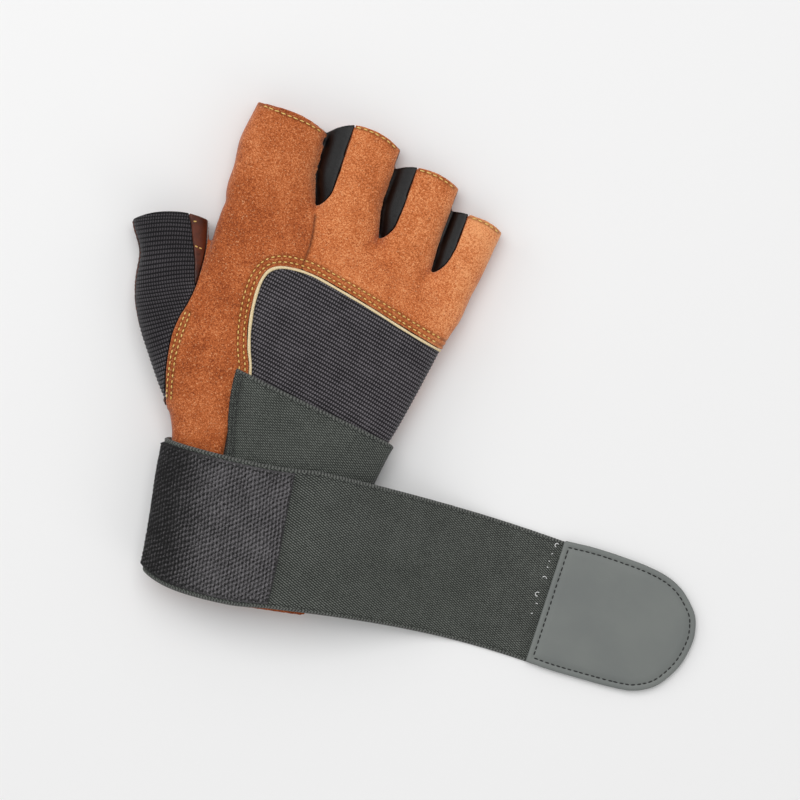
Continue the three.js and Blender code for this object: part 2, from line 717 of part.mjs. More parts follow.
const glove = new THREE.Group();
for (const [name, solid] of Object.entries(panels)) {
  glove.add(meshOf(name, solid, materialFor(name)));
}
glove.add(
  meshOf('wrist_wrap', wristWrap, materials.elastic),
  meshOf('loop_patch', loopPatch(), materials.patch),
  tabPiece('end_tab', tabPlate(tabOutline(0, 0), WRAP_WALL + SEAM_GAP, TAB_WALL), materials.tab),
  tabPiece('hook_pad', tabPlate(tabOutline(TAB_OVERLAP + HOOK_MARGIN, HOOK_MARGIN), 0, WRAP_WALL), materials.patch),
);

export default glove;
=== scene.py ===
# %% [markdown]
# # Dressing a weightlifting glove
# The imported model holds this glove's true size and place. It is a faceted, plain thing, as a pattern
# maker's dummy is. This lesson builds the visible glove over it: suede, ribbed knit, elastic, thread and a
# stiff tab. All lengths are typed in millimetres and turned into Blender's metres at the last moment, by
# one factor.

# %% Loading the frame
import json
import math

import bmesh
import bpy
import numpy as np
from mathutils import Matrix, Vector, noise
from mathutils.bvhtree import BVHTree

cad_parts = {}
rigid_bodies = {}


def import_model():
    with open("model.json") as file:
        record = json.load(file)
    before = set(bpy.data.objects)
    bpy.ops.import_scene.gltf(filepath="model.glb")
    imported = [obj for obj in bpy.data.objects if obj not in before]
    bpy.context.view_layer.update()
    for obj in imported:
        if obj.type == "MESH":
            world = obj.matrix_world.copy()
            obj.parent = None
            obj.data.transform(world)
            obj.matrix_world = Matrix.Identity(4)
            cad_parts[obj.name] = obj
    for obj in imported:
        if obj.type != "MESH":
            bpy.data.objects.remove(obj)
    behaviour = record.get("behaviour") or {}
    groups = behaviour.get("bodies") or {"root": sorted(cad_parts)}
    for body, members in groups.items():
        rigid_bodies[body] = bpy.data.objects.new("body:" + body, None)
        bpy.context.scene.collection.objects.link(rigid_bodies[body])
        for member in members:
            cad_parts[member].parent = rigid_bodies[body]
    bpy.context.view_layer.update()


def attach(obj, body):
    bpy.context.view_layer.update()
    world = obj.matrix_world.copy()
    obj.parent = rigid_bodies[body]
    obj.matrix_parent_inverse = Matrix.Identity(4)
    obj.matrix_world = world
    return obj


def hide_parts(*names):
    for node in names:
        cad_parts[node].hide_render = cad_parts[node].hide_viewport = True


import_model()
MM = 0.001
chance = np.random.default_rng(7)

# %% [markdown]
# ## The camera
# The photograph looks straight down on the glove, with the hand's long axis turned to the left. A long lens
# far away gives the flat look of a catalogue picture. The width that the picture covers and the distance
# give the focal length, so that the glove comes out at its true scale in the frame.

# %% Camera
PHOTO_TURN = math.radians(21)
PHOTO_CENTRE = Vector((38.1, -7.9, 12.0)) * MM
VIEW_WIDTH = 336 * MM
CAMERA_DISTANCE = 2.0

camera_data = bpy.data.cameras.new("camera")
camera_data.lens = camera_data.sensor_width * CAMERA_DISTANCE / VIEW_WIDTH
camera_data.clip_end = 100
camera = bpy.data.objects.new("camera", camera_data)
camera.location = PHOTO_CENTRE + Vector((0, 0, CAMERA_DISTANCE))
camera.rotation_euler = (0, 0, PHOTO_TURN)
bpy.context.scene.collection.objects.link(camera)
bpy.context.scene.camera = camera
print("Focal length in mm:", round(camera_data.lens))

# %% [markdown]
# ## Shader maths
# A procedural finish is arithmetic on noise and coordinates. Node trees are hard to read as code, so one
# small class wraps a socket and lets Python's own operators add the Math nodes. A second class holds one
# material, and its `add` makes any other node from its type, its settings and its inputs.

# %% A socket that can be added and multiplied
class Value:
    def __init__(self, finish, socket):
        self.finish = finish
        self.socket = socket

    def math(self, operation, *others):
        return self.finish.add("Math", {"operation": operation}, dict(enumerate((self, *others))))

    def __add__(self, other):
        return self.math("ADD", other)

    def __sub__(self, other):
        return self.math("SUBTRACT", other)

    def __rsub__(self, other):
        return (self * -1) + other

    def __mul__(self, other):
        return self.math("MULTIPLY", other)

    __radd__ = __add__
    __rmul__ = __mul__


# %% A material and its nodes
class Finish:
    def __init__(self, name):
        self.material = bpy.data.materials.new(name)
        self.material.use_nodes = True
        self.tree = self.material.node_tree
        self.tree.nodes.clear()

    def add(self, kind, settings=None, inputs=None, output=0):
        node = self.tree.nodes.new("ShaderNode" + kind)
        for key, value in (settings or {}).items():
            setattr(node, key, value)
        for key, value in (inputs or {}).items():
            if isinstance(value, Value):
                self.tree.links.new(value.socket, node.inputs[key])
            else:
                node.inputs[key].default_value = value
        return Value(self, node.outputs[output])

    def place(self):
        """Object coordinates, which are metres on the glove."""
        return self.add("TexCoord", output="Object")

    def attribute(self, name, output="Fac"):
        return self.add("Attribute", {"attribute_name": name}, output=output)

    def noise(self, vector, size, detail=3.0, rough=0.55, output=0):
        """Noise whose features are about size millimetres across."""
        inputs = {"Vector": vector, "Scale": 1 / (size * MM), "Detail": detail, "Roughness": rough}
        return self.add("TexNoise", None, inputs, output)

    def stretch(self, vector, factors):
        return self.add("VectorMath", {"operation": "MULTIPLY"}, {0: vector, 1: factors})

    def smooth(self, value, low, high):
        """0 below low, 1 above high and a soft step between."""
        settings = {"interpolation_type": "SMOOTHSTEP"}
        return self.add("MapRange", settings, {"Value": value, "From Min": low, "From Max": high})

    def mix(self, factor, a, b, blend="MIX"):
        settings = {"data_type": "RGBA", "blend_type": blend}
        return self.add("Mix", settings, {0: factor, 6: a, 7: b}, output=2)

    def bump(self, height, depth, under=None):
        """A Bump node whose height of 0 to 1 stands for depth millimetres."""
        inputs = {"Height": height, "Strength": 1.0, "Distance": depth * MM}
        if under:
            inputs["Normal"] = under
        return self.add("Bump", None, inputs)

    def shade(self, **sockets):
        """The surface: Python names such as base_color become the socket Base Color."""
        names = [key.replace("_", " ").title().replace("Ior", "IOR") for key in sockets]
        inputs = dict(zip(names, sockets.values()))
        surface = self.add("BsdfPrincipled", None, inputs)
        output = self.tree.nodes.new("ShaderNodeOutputMaterial")
        self.tree.links.new(surface.socket, output.inputs["Surface"])
        return self.material


def colour(red, green, blue):
    """A colour as a screen shows it, from 0 to 255, made linear for the shader."""
    return (*[(channel / 255) ** 2.2 for channel in (red, green, blue)], 1.0)


print("Shader helpers are ready")

# %% [markdown]
# ## Floor and light
# A catalogue picture has a floor that is almost white and a light that comes from everywhere. A bright
# world gives the even part. One very large lamp above and two weak ones at the sides shape the folds
# without a hard shadow. The Standard view keeps the colours as they are typed.

# %% Stage
FLOOR_SIZE = 6.0
FLOOR_TONE = colour(242, 242, 242)
WORLD_STRENGTH = 0.5

bm = bmesh.new()
bmesh.ops.create_grid(bm, x_segments=1, y_segments=1, size=FLOOR_SIZE / 2)
floor_mesh = bpy.data.meshes.new("floor")
bm.to_mesh(floor_mesh)
bm.free()
floor = bpy.data.objects.new("floor", floor_mesh)
bpy.context.scene.collection.objects.link(floor)
floor_mesh.materials.append(Finish("floor").shade(base_color=FLOOR_TONE, roughness=0.9))

world = bpy.data.worlds.new("studio")
bpy.context.scene.world = world
world.use_nodes = True
world.node_tree.nodes["Background"].inputs["Color"].default_value = (1, 1, 1, 1)
world.node_tree.nodes["Background"].inputs["Strength"].default_value = WORLD_STRENGTH
bpy.context.scene.view_settings.view_transform = "Standard"


def lamp(name, place, size, power):
    data = bpy.data.lights.new(name, "AREA")
    data.size = size
    data.energy = power
    obj = bpy.data.objects.new(name, data)
    obj.location = place
    obj.rotation_euler = (-Vector(place)).to_track_quat("-Z", "Y").to_euler()
    bpy.context.scene.collection.objects.link(obj)


lamp("top_light", (-0.3, 0.5, 1.6), 1.4, 15)
lamp("left_light", (-1.4, 0.2, 0.9), 0.8, 3.6)
lamp("right_light", (1.3, -0.6, 0.8), 0.8, 2.2)
print("Stage: a pale floor, a bright world and three soft lamps")

# %% [markdown]
# ## The sizes of the hand
# The glove is a skin over a hand, and the hand is six flattened tubes: the palm, the thumb and four stubs
# of fingers. Each short table gives a tube's sections. The shares of the palm's length and of the knuckles'
# width are the same as in the solid model, so the skin lies where the solids lie.

# %% Sizes and tables
KNUCKLE_WIDTH, PALM_LENGTH, PALM_THICKNESS = 114, 165, 25
THUMB_WIDTH, THUMB_THICKNESS = 33, 21
FINGER_GAP, WEB_DEPTH, FLAT_DEPTH = 0.4, 7, 0.6
PALM_ROUNDNESS, FINGER_ROUNDNESS = 2.7, 2.5
SUEDE_WALL, KNIT_WALL, STRIP_STEP, KNIT_STEP = 2.0, 1.2, 0.4, 0.8
SEAM_HEIGHT, STRIP_REVEAL, STRIP_HEIGHT = 7.5, 0.27, 0.6
FAR = 400


def table(names, *lines):
    """A short table as a dict: one array for each column's name."""
    return dict(zip(names.split(), np.array(lines, float).T))


DIVIDERS = table(
    "root third hem fork",
    (-0.55, -0.563, -0.549, 0.362), (-0.212, -0.252, -0.272, 0.339), (0.049, 0.02, 0.01, 0.321),
    (0.272, 0.264, 0.262, 0.285), (0.445, 0.455, 0.468, 0.262),
)
FINGERS = table(
    "length thick drop_left drop_right",
    (31.8, 20, 1.7, 3.8), (39.3, 20, 8, 3.9), (36.3, 19, 4.6, 3.1), (30.2, 17.5, 1.4, 2.6),
)
FINGER_NAMES = ("index", "middle", "ring", "little")
FINGER_ROWS = table(
    "share tuck thick",
    (-0.8, 0.06, 0.8), (-0.4, 0.008, 0.99), (0, 0.001, 1.01), (0.34, 0, 0.99), (0.7, 0, 0.97), (1, 0, 0.95),
    (1.25, 0, 0.95),
)
PALM_ROWS = table(
    "left_x left_y right_x right_y thick lift",
    (-0.289, -0.735, 0.294, -0.7, 0.74, 1), (-0.333, -0.57, 0.316, -0.545, 0.78, 1),
    (-0.374, -0.442, 0.328, -0.412, 0.82, 1), (-0.407, -0.333, 0.339, -0.273, 0.86, 1),
    (-0.472, -0.248, 0.353, -0.182, 0.9, 1), (-0.514, -0.164, 0.37, -0.121, 0.94, 0.8),
    (-0.53, -0.079, 0.386, -0.048, 0.98, 0), (-0.524, 0.024, 0.404, 0.048, 1, 0),
    (-0.521, 0.133, 0.421, 0.145, 1, 0), (-0.53, 0.25, 0.436, 0.2, 0.91, 0),
    (-0.495, 0.36, 0.405, 0.262, 0.62, 0),
)
THUMB_ROWS = table(
    "x y turn wide thick lift",
    (-0.742, 0.258, 21, 1.05, 1.02, 0), (-0.716, 0.21, 21, 1.03, 1, 0),
    (-0.692, 0.165, 21, 0.995, 0.96, 0), (-0.643, 0.102, 21, 0.9, 0.86, 0),
    (-0.616, 0.028, 21, 0.92, 0.95, 0), (-0.575, -0.029, 17, 0.99, 1.06, 0),
    (-0.525, -0.082, 19, 1.01, 1.1, 0.2), (-0.464, -0.136, 23, 0.98, 1.05, 0.8),
    (-0.412, -0.194, 25, 0.87, 0.95, 1.2), (-0.368, -0.25, 28, 0.68, 0.8, 1.5),
)
THUMB_HEM_ROW, THUMB_BULGE = 2, 0.13
DENTS = table(
    "x y radius depth",
    (0.24, 0.2, 0.11, 0.07), (0.03, 0.25, 0.08, 0.05), (-0.17, 0.25, 0.07, 0.05), (-0.42, 0, 0.12, 0.04),
    (0.21, -0.1, 0.06, -0.06),
)
WRAP_WIDTH, WRAP_WALL, HEM_WALL, WRAP_GAP, HEM_WIDTH, FREE_LENGTH = 58, 1.6, 2.4, 0.5, 5, 117
WRAP_ROOM = FLAT_DEPTH + WRAP_GAP + WRAP_WALL
SECOND_LAYER = WRAP_GAP + HEM_WALL + 0.3
print("The hand's tables hold", len(PALM_ROWS["lift"]), "palm and", len(THUMB_ROWS["lift"]), "thumb sections")

# %% [markdown]
# ## A tube through the hand
# A finger or a palm seen from above is the room between two side curves, and seen end-on it is a flat oval.
# A spline runs through the sections on each side. The oval is a superellipse, which is fuller than an
# ellipse at its corners, as leather over a hand is. The dents press only the upper side in.

# %% Splines and ovals
def spline(points, share):
    """Points of a smooth curve through the rows of points, at shares of its way."""
    points = np.asarray(points, float)
    ends = np.vstack([2 * points[0] - points[1], points, 2 * points[-1] - points[-2]])
    place = np.clip(share, 0, 1) * (len(points) - 1)
    span = np.minimum(place.astype(int), len(points) - 2)
    w = (place - span)[:, None]
    p0, p1, p2, p3 = (ends[span + k] for k in range(4))
    pairs = (p0, p1), (p1, p2), (p2, p3)
    d0, d1, d2 = (np.sqrt(np.linalg.norm(b - a, axis=1, keepdims=True)) for a, b in pairs)
    t1 = ((p1 - p0) / d0 - (p2 - p0) / (d0 + d1) + (p2 - p1) / d1) * d1
    t2 = ((p2 - p1) / d1 - (p3 - p1) / (d1 + d2) + (p3 - p2) / d2) * d1
    return p1 + t1 * w + (3 * (p2 - p1) - 2 * t1 - t2) * w**2 + (2 * (p1 - p2) + t1 + t2) * w**3


def path_length(points):
    """The way along a path to each of its points."""
    return np.concatenate([[0], np.cumsum(np.linalg.norm(np.diff(points, axis=0), axis=1))])


def resample(points, distances):
    """Points of a path at given distances along it."""
    way = path_length(points)
    return np.column_stack([np.interp(distances, way, column) for column in np.asarray(points).T])


def grid_ways(points, axis):
    """The way along the rows or the columns of a grid to each of its points."""
    steps = np.diff(points, axis=axis, prepend=points.take([0], axis))
    return np.cumsum(np.linalg.norm(steps, axis=2), axis=axis)


def smoothstep(value, low, high):
    t = np.clip((value - low) / (high - low), 0, 1)
    return t * t * (3 - 2 * t)


def dent_at(x, y):
    """How far the back is pressed in, in millimetres."""
    total = 0
    for dx, dy, radius, depth in zip(*DENTS.values()):
        spread = ((x - dx * KNUCKLE_WIDTH) ** 2 + (y - dy * PALM_LENGTH) ** 2) / (radius * KNUCKLE_WIDTH) ** 2
        total = total + depth * PALM_THICKNESS * np.exp(-spread)
    return total


class Tube:
    LAPS = np.linspace(0, 1, 601)

    def __init__(self, left, right, thick, lift, roundness):
        self.left = np.column_stack([left, thick])
        self.right = np.column_stack([right, lift])
        self.power = 2 / roundness
        self.length = path_length(spline(self.left, np.linspace(0, 1, 200)))[-1]

    def oval(self, lap):
        """A point of the oval for half sizes of 1, at shares of a lap."""
        wave = np.cos(2 * np.pi * lap), np.sin(2 * np.pi * lap)
        return [np.sign(w) * np.abs(w) ** self.power for w in wave]

    def surface(self, along, turn, outward=0.0):
        """Points for each along (rows) and each turn (columns), grown outward."""
        left, right = spline(self.left, along), spline(self.right, along)
        across = (right - left)[:, :2]
        half_width = np.linalg.norm(across, axis=1)[:, None] / 2
        half_height = left[:, 2:] / 2
        side = across / (2 * half_width)
        middle = (left + right)[:, :2] / 2
        c, s = self.oval(self.LAPS)
        step = np.hypot(np.diff(half_width * c, axis=1), np.diff(half_height * s, axis=1))
        way = np.hstack([np.zeros((len(along), 1)), np.cumsum(step, axis=1)])
        lap = np.array([np.interp(np.mod(turn, 1) * row[-1], row, self.LAPS) for row in way])
        c, s = self.oval(lap)
        sideways, upward = (half_width + outward) * c, (half_height + outward) * s
        x = middle[:, :1] + side[:, :1] * sideways
        y = middle[:, 1:] + side[:, 1:] * sideways
        upper = np.clip(upward / half_height, 0, 1)
        z = right[:, 2:] - FLAT_DEPTH + half_height + upward - upper * dent_at(x, y)
        return np.stack([x, y, z], axis=-1)


# %% The hand's six tubes
def plan(x, y):
    return np.column_stack([np.asarray(x) * KNUCKLE_WIDTH, np.asarray(y) * PALM_LENGTH])


def turned(points, angle):
    """Points in plan, turned about the origin."""
    x, y, c, s = points[:, 0], points[:, 1], math.cos(angle), math.sin(angle)
    return np.column_stack([x * c - y * s, x * s + y * c])


def hem_y(i):
    return (DIVIDERS["fork"][i] + DIVIDERS["fork"][i + 1]) / 2 * PALM_LENGTH + FINGERS["length"][i]


def divider_x(i, share):
    """A divider's x at a share of the way from its fork to the hem."""
    stops = [DIVIDERS[key][i] for key in ("root", "third", "hem")]
    return np.interp(share, [0, 1 / 3, 1], stops) * KNUCKLE_WIDTH


def finger_tube(i):
    share, tuck = FINGER_ROWS["share"], FINGER_ROWS["tuck"]

    def side(divider, inward):
        fork = DIVIDERS["fork"][divider] * PALM_LENGTH
        x = divider_x(divider, share) + inward * (FINGER_GAP / 2 + tuck * KNUCKLE_WIDTH)
        return np.column_stack([x, fork + share * (hem_y(i) - fork)])

    thick = FINGER_ROWS["thick"] * FINGERS["thick"][i]
    return Tube(side(i, 1), side(i + 1, -1), thick, 0 * share, FINGER_ROUNDNESS)


def thumb_tube():
    middle = plan(THUMB_ROWS["x"], THUMB_ROWS["y"])
    angle = np.radians(THUMB_ROWS["turn"])
    half = THUMB_ROWS["wide"] * THUMB_WIDTH / 2
    reach = np.column_stack([half * np.cos(angle), half * np.sin(angle)])
    lift = THUMB_ROWS["lift"] * WRAP_ROOM
    return Tube(middle - reach, middle + reach, THUMB_ROWS["thick"] * THUMB_THICKNESS, lift, FINGER_ROUNDNESS)


palm = Tube(
    plan(PALM_ROWS["left_x"], PALM_ROWS["left_y"]),
    plan(PALM_ROWS["right_x"], PALM_ROWS["right_y"]),
    PALM_ROWS["thick"] * PALM_THICKNESS,
    PALM_ROWS["lift"] * WRAP_ROOM,
    PALM_ROUNDNESS,
)
thumb = thumb_tube()
hand_tubes = [palm, thumb] + [finger_tube(i) for i in range(4)]
print("Tube lengths in mm:", [round(tube.length) for tube in hand_tubes])

# %% [markdown]
# ## Mesh helpers
# `loft` starts from one grid made by an operator and lays its vertices on a surface, row by row. Where a
# row's last point meets its first, the doubles are merged and the two ends are filled, so the shape is
# closed. `finish_piece` gives a piece its material, parents it to the body it rides on and hides the solids
# that it replaces.

# %% Lofts, applied modifiers and finished pieces
def new_object(name, bm):
    mesh = bpy.data.meshes.new(name)
    bm.to_mesh(mesh)
    bm.free()
    obj = bpy.data.objects.new(name, mesh)
    bpy.context.scene.collection.objects.link(obj)
    return obj


def loft(name, points, cloth=None):
    """A closed skin through rows of points. cloth is each point's place on the flat cloth, in millimetres."""
    bm = bmesh.new()
    layer = bm.verts.layers.float_vector.new("cloth")
    made = bmesh.ops.create_grid(bm, x_segments=points.shape[1] - 1, y_segments=points.shape[0] - 1, size=1)
    flat = np.zeros_like(points) if cloth is None else cloth
    places, spots = (points * MM).reshape(-1, 3).tolist(), (flat * MM).reshape(-1, 3)
    for vert, place, spot in zip(made["verts"], places, spots):
        vert.co = place
        vert[layer] = spot
    bmesh.ops.remove_doubles(bm, verts=bm.verts, dist=1e-7)
    bmesh.ops.holes_fill(bm, edges=bm.edges, sides=0)
    bmesh.ops.recalc_face_normals(bm, faces=bm.faces)
    return new_object(name, bm)


def columns_of(*values):
    """Values that are spread over one grid and stacked as its points."""
    return np.stack(np.broadcast_arrays(*values), axis=-1)


def there_and_back(top, under):
    """Rows that run along a sheet's upper side, back along its lower one and close."""
    return np.concatenate([top, under, top[:, :1]], axis=1)


def modify(obj, kind, **settings):
    modifier = obj.modifiers.new(kind.lower(), kind)
    for key, value in settings.items():
        setattr(modifier, key, value)


def apply_modifiers(obj):
    graph = bpy.context.evaluated_depsgraph_get()
    mesh = bpy.data.meshes.new_from_object(obj.evaluated_get(graph))
    obj.modifiers.clear()
    obj.data = mesh
    return obj


def copy_of(obj, name):
    twin = bpy.data.objects.new(name, obj.data.copy())
    bpy.context.scene.collection.objects.link(twin)
    return twin


def read_points(mesh, key="co"):
    """The mesh's vertices or their normals, vertices in millimetres."""
    values = np.empty(len(mesh.vertices) * 3, np.float32)
    mesh.vertices.foreach_get(key, values)
    return values.reshape(-1, 3).astype(float) / (MM if key == "co" else 1)


def write_points(mesh, points):
    mesh.vertices.foreach_set("co", (points * MM).astype(np.float32).ravel())
    mesh.update()


def finish_piece(obj, material, replaces=()):
    obj.data.materials.clear()
    obj.data.materials.append(material)
    obj.data.polygons.foreach_set("use_smooth", [True] * len(obj.data.polygons))
    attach(obj, "root")
    if replaces:
        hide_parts(*replaces)
    obj.data.calc_loop_triangles()
    print(f"{obj.name}: {len(obj.data.loop_triangles)} triangles")
    return obj


# %% [markdown]
# ## One skin for the whole hand
# Six tubes that overlap don't look like a hand: where they meet there are hard creases. A voxel remesh
# melts them into one skin, as wet leather is pulled over a form, and a few rounds of smoothing soften the
# valleys at the finger roots. The same is done with tubes that are smaller by the wall, for the room
# inside.

# %% The outer form and the hollow
FORM_VOXEL, HOLLOW_VOXEL = 0.7, 1.0
FORM_ROUNDS, HOLLOW_ROUNDS = 14, 10
FORM_GRID = (110, 200)


def hand_form(name, outward, voxel, rounds):
    bm = bmesh.new()
    for tube in hand_tubes:
        along = np.linspace(0, 1 + outward / tube.length, FORM_GRID[0])
        points = tube.surface(along, np.linspace(0, 1, FORM_GRID[1]), outward)
        points[..., 2] = np.maximum(points[..., 2], -outward)
        part = loft("part", points)
        bm.from_mesh(part.data)
        bpy.data.objects.remove(part)
    form = new_object(name, bm)
    modify(form, "REMESH", mode="VOXEL", voxel_size=voxel * MM)
    modify(form, "SMOOTH", factor=0.5, iterations=rounds)
    return apply_modifiers(form)


outer = hand_form("outer_form", 0, FORM_VOXEL, FORM_ROUNDS)
hollow = hand_form("hollow_form", -SUEDE_WALL, HOLLOW_VOXEL, HOLLOW_ROUNDS)
strip_form = copy_of(outer, "strip_form")
modify(strip_form, "DISPLACE", strength=-STRIP_STEP * MM, mid_level=0)
apply_modifiers(strip_form)
print("Faces of the outer form:", len(outer.data.polygons), "and of the hollow:", len(hollow.data.polygons))

# %% [markdown]
# ## Pattern pieces
# A glove is sewn from flat pieces, whose borders are curves in plan. Each border becomes an upright prism,
# cut from the one skin like dough from a sheet. The prism is one face, filled from the outline and
# extruded.

# %% Borders in plan, as shares of the two driving sizes
INSERT_BORDER = plan(*np.array([
    (-0.16, -0.8), (-0.175, -0.3), (-0.222, -0.116), (-0.256, -0.065), (-0.283, -0.01), (-0.302, 0.06),
    (-0.303, 0.112), (-0.288, 0.142), (-0.256, 0.16), (-0.2, 0.17), (-0.13, 0.172), (-0.03, 0.163),
    (0.13, 0.144), (0.3, 0.121), (0.42, 0.109), (0.6, 0.1),
]).T)
THUMB_BORDER = plan(*np.array([
    (-0.72, 0.42), (-0.61, 0.28), (-0.56, 0.2), (-0.53, 0.125), (-0.517, 0.05), (-0.519, -0.005),
    (-0.53, -0.055), (-0.532, -0.1), (-0.52, -0.15), (-0.498, -0.21), (-0.47, -0.262), (-0.448, -0.292),
    (-0.5, -0.4),
]).T)
THUMB_SIDE_BORDER = plan(*np.array([
    (-0.668, 0.26), (-0.639, 0.207), (-0.612, 0.178), (-0.589, 0.144), (-0.555, 0.098), (-0.528, 0.05),
    (-0.48, -0.01),
]).T)
FINGER_SEAM = plan(*np.array([
    (-0.2, 0.313), (-0.186, 0.277), (-0.176, 0.239), (-0.172, 0.13), (-0.172, -0.8),
]).T)
CUFF_LINE = plan(*np.array([
    (-0.6, -0.665), (-0.32, -0.69), (-0.13, -0.7), (0.05, -0.686), (0.32, -0.645), (0.6, -0.61),
]).T)
BORDER_STEP = 2.0


def border(points, inset=0.0, step=BORDER_STEP):
    """A smooth border with points at even steps, moved to the right of its direction by inset."""
    fine = spline(points, np.linspace(0, 1, 1200))
    way = path_length(fine)[-1]
    line = resample(fine, np.linspace(0, way, int(way / step) + 1))
    tangent = np.gradient(line, axis=0)
    tangent /= np.linalg.norm(tangent, axis=1, keepdims=True)
    return line + inset * np.column_stack([tangent[:, 1], -tangent[:, 0]])


def cutter(outline, low=-FAR, high=FAR):
    """An upright prism over an outline in plan."""
    bm = bmesh.new()
    verts = [bm.verts.new((x * MM, y * MM, low * MM)) for x, y in outline]
    for a, b in zip(verts, verts[1:] + verts[:1]):
        bm.edges.new((a, b))
    bmesh.ops.contextual_create(bm, geom=bm.edges[:])
    top = bmesh.ops.extrude_face_region(bm, geom=bm.faces[:])["geom"]
    moved = [part for part in top if isinstance(part, bmesh.types.BMVert)]
    bmesh.ops.translate(bm, verts=moved, vec=(0, 0, (high - low) * MM))
    bmesh.ops.recalc_face_normals(bm, faces=bm.faces)
    obj = new_object("cutter", bm)
    obj.hide_render = True
    return obj


def slab(low, high):
    return cutter([(-FAR, -FAR), (FAR, -FAR), (FAR, FAR), (-FAR, FAR)], low, high)


def carve(obj, *steps):
    """Boolean steps in turn: each is an operation and a cutter."""
    for operation, tool in steps:
        modify(obj, "BOOLEAN", operation=operation, object=tool, solver="MANIFOLD")
    return apply_modifiers(obj)


def less(*tools):
    return [("DIFFERENCE", tool) for tool in tools]


# %% Regions of the pattern
def insert_region(inset):
    line = border(INSERT_BORDER, inset)
    return cutter([*line, (FAR, line[-1][1]), (FAR, -FAR), (line[0][0], -FAR)])


def thumb_region(inset):
    line = border(THUMB_BORDER, inset)
    return cutter([*line, (-FAR, line[-1][1]), (-FAR, line[0][1])])


def thumb_knit_region(inset):
    line = border(THUMB_SIDE_BORDER, inset)
    return cutter([*line, (line[-1][0], -FAR), (-FAR, -FAR), (-FAR, line[0][1])], SEAM_HEIGHT + inset / 2)


def index_region(inset):
    share = np.array([1.6, 1, 0.6, 1 / 3, 0.0])
    y = DIVIDERS["fork"][1] * PALM_LENGTH + share * FINGERS["length"][0]
    upper = np.column_stack([divider_x(1, share) - inset, y])
    lower = FINGER_SEAM - (inset, 0)
    return cutter([*upper, *lower, (-FAR, lower[-1][1]), (-FAR, upper[0][1])])


def strip_region(i, inset):
    """Three prisms: the far finger's near side, the near finger's far side and the web between them."""
    fork = DIVIDERS["fork"][i] * PALM_LENGTH
    wall = 2 * SUEDE_WALL - inset
    top = STRIP_HEIGHT * FINGERS["thick"][i - 1] - inset
    reveal = STRIP_REVEAL * (divider_x(i + 1, 1) - divider_x(i, 1))
    share = np.array([0, 0.03, 0.06, 0.1, 0.15, 0.2, 0.3, 0.45, 0.7, 1.8])
    y = fork + inset + share * (hem_y(i) - fork)
    line = divider_x(i, share)
    far_side = line + SUEDE_WALL / 2 - inset + reveal * (1 - (1 - np.minimum(share, 1)) ** 6)
    upper = [*zip(far_side, y), *zip((line + inset - FINGER_GAP / 2)[::-1], y[::-1])]
    lower = [*zip(line, y), *zip((line - wall)[::-1], y[::-1])]
    near, far = fork - WEB_DEPTH + inset, fork + SUEDE_WALL
    left, right = line[0] - wall, line[0] + wall
    web = [(left, near), (right, near), (right, far), (left, far)]
    return cutter(upper), cutter(lower, high=top), cutter(web, high=top)


def hem_arc(i, reach=0.0):
    """The hem of a finger in plan, highest at its middle."""
    u = np.linspace(-1, 1, 25)
    left, right = divider_x(i, 1) - FINGER_GAP / 4, divider_x(i + 1, 1) + FINGER_GAP / 4
    drop = np.where(u < 0, FINGERS["drop_left"][i], FINGERS["drop_right"][i])
    x = left + (right - left) * (u + 1) / 2
    return np.column_stack([x, hem_y(i) + reach * (1 - u**2) - drop * np.abs(u) ** 2.2])


def thumb_hem_arc():
    u = np.linspace(-1, 1, 25)
    bulge = THUMB_BULGE * THUMB_WIDTH
    angle = math.radians(THUMB_ROWS["turn"][THUMB_HEM_ROW])
    x, y = 0.54 * THUMB_WIDTH * u, bulge * (1 - np.abs(u) ** 2.2)
    return plan(THUMB_ROWS["x"], THUMB_ROWS["y"])[THUMB_HEM_ROW] + turned(np.column_stack([x, y]), angle)


def past(arc, direction=(0, 1), wider=0.0):
    """Everything beyond an arc, in a direction, and a little wider than the arc."""
    away = np.array(direction) * FAR / 2
    across = np.array([direction[1], -direction[0]]) * wider
    arc = np.vstack([arc[0] - across, arc, arc[-1] + across])
    return cutter([*arc, arc[-1] + away, arc[0] + away])


BACK_REACH = (-2.0, 0, 0, 0)
thumb_turn = math.radians(THUMB_ROWS["turn"][THUMB_HEM_ROW])
thumb_up = (-math.sin(thumb_turn), math.cos(thumb_turn))
thumb_hem = past(thumb_hem_arc(), thumb_up, THUMB_WIDTH / 3)
beside_thumb = past(thumb_hem_arc(), thumb_up, 1.2)
hems = [past(hem_arc(i, BACK_REACH[i]), wider=FINGER_GAP) for i in range(4)]
palm_hems = [past(hem_arc(i), wider=FINGER_GAP) for i in range(4)]
cuff = past(border(CUFF_LINE)[::-1], (0, -1))
upper_side, lower_side = slab(SEAM_HEIGHT, FAR), slab(-FAR, SEAM_HEIGHT)
strip_cutters = [tool for i in (1, 2, 3) for tool in strip_region(i, 0)]
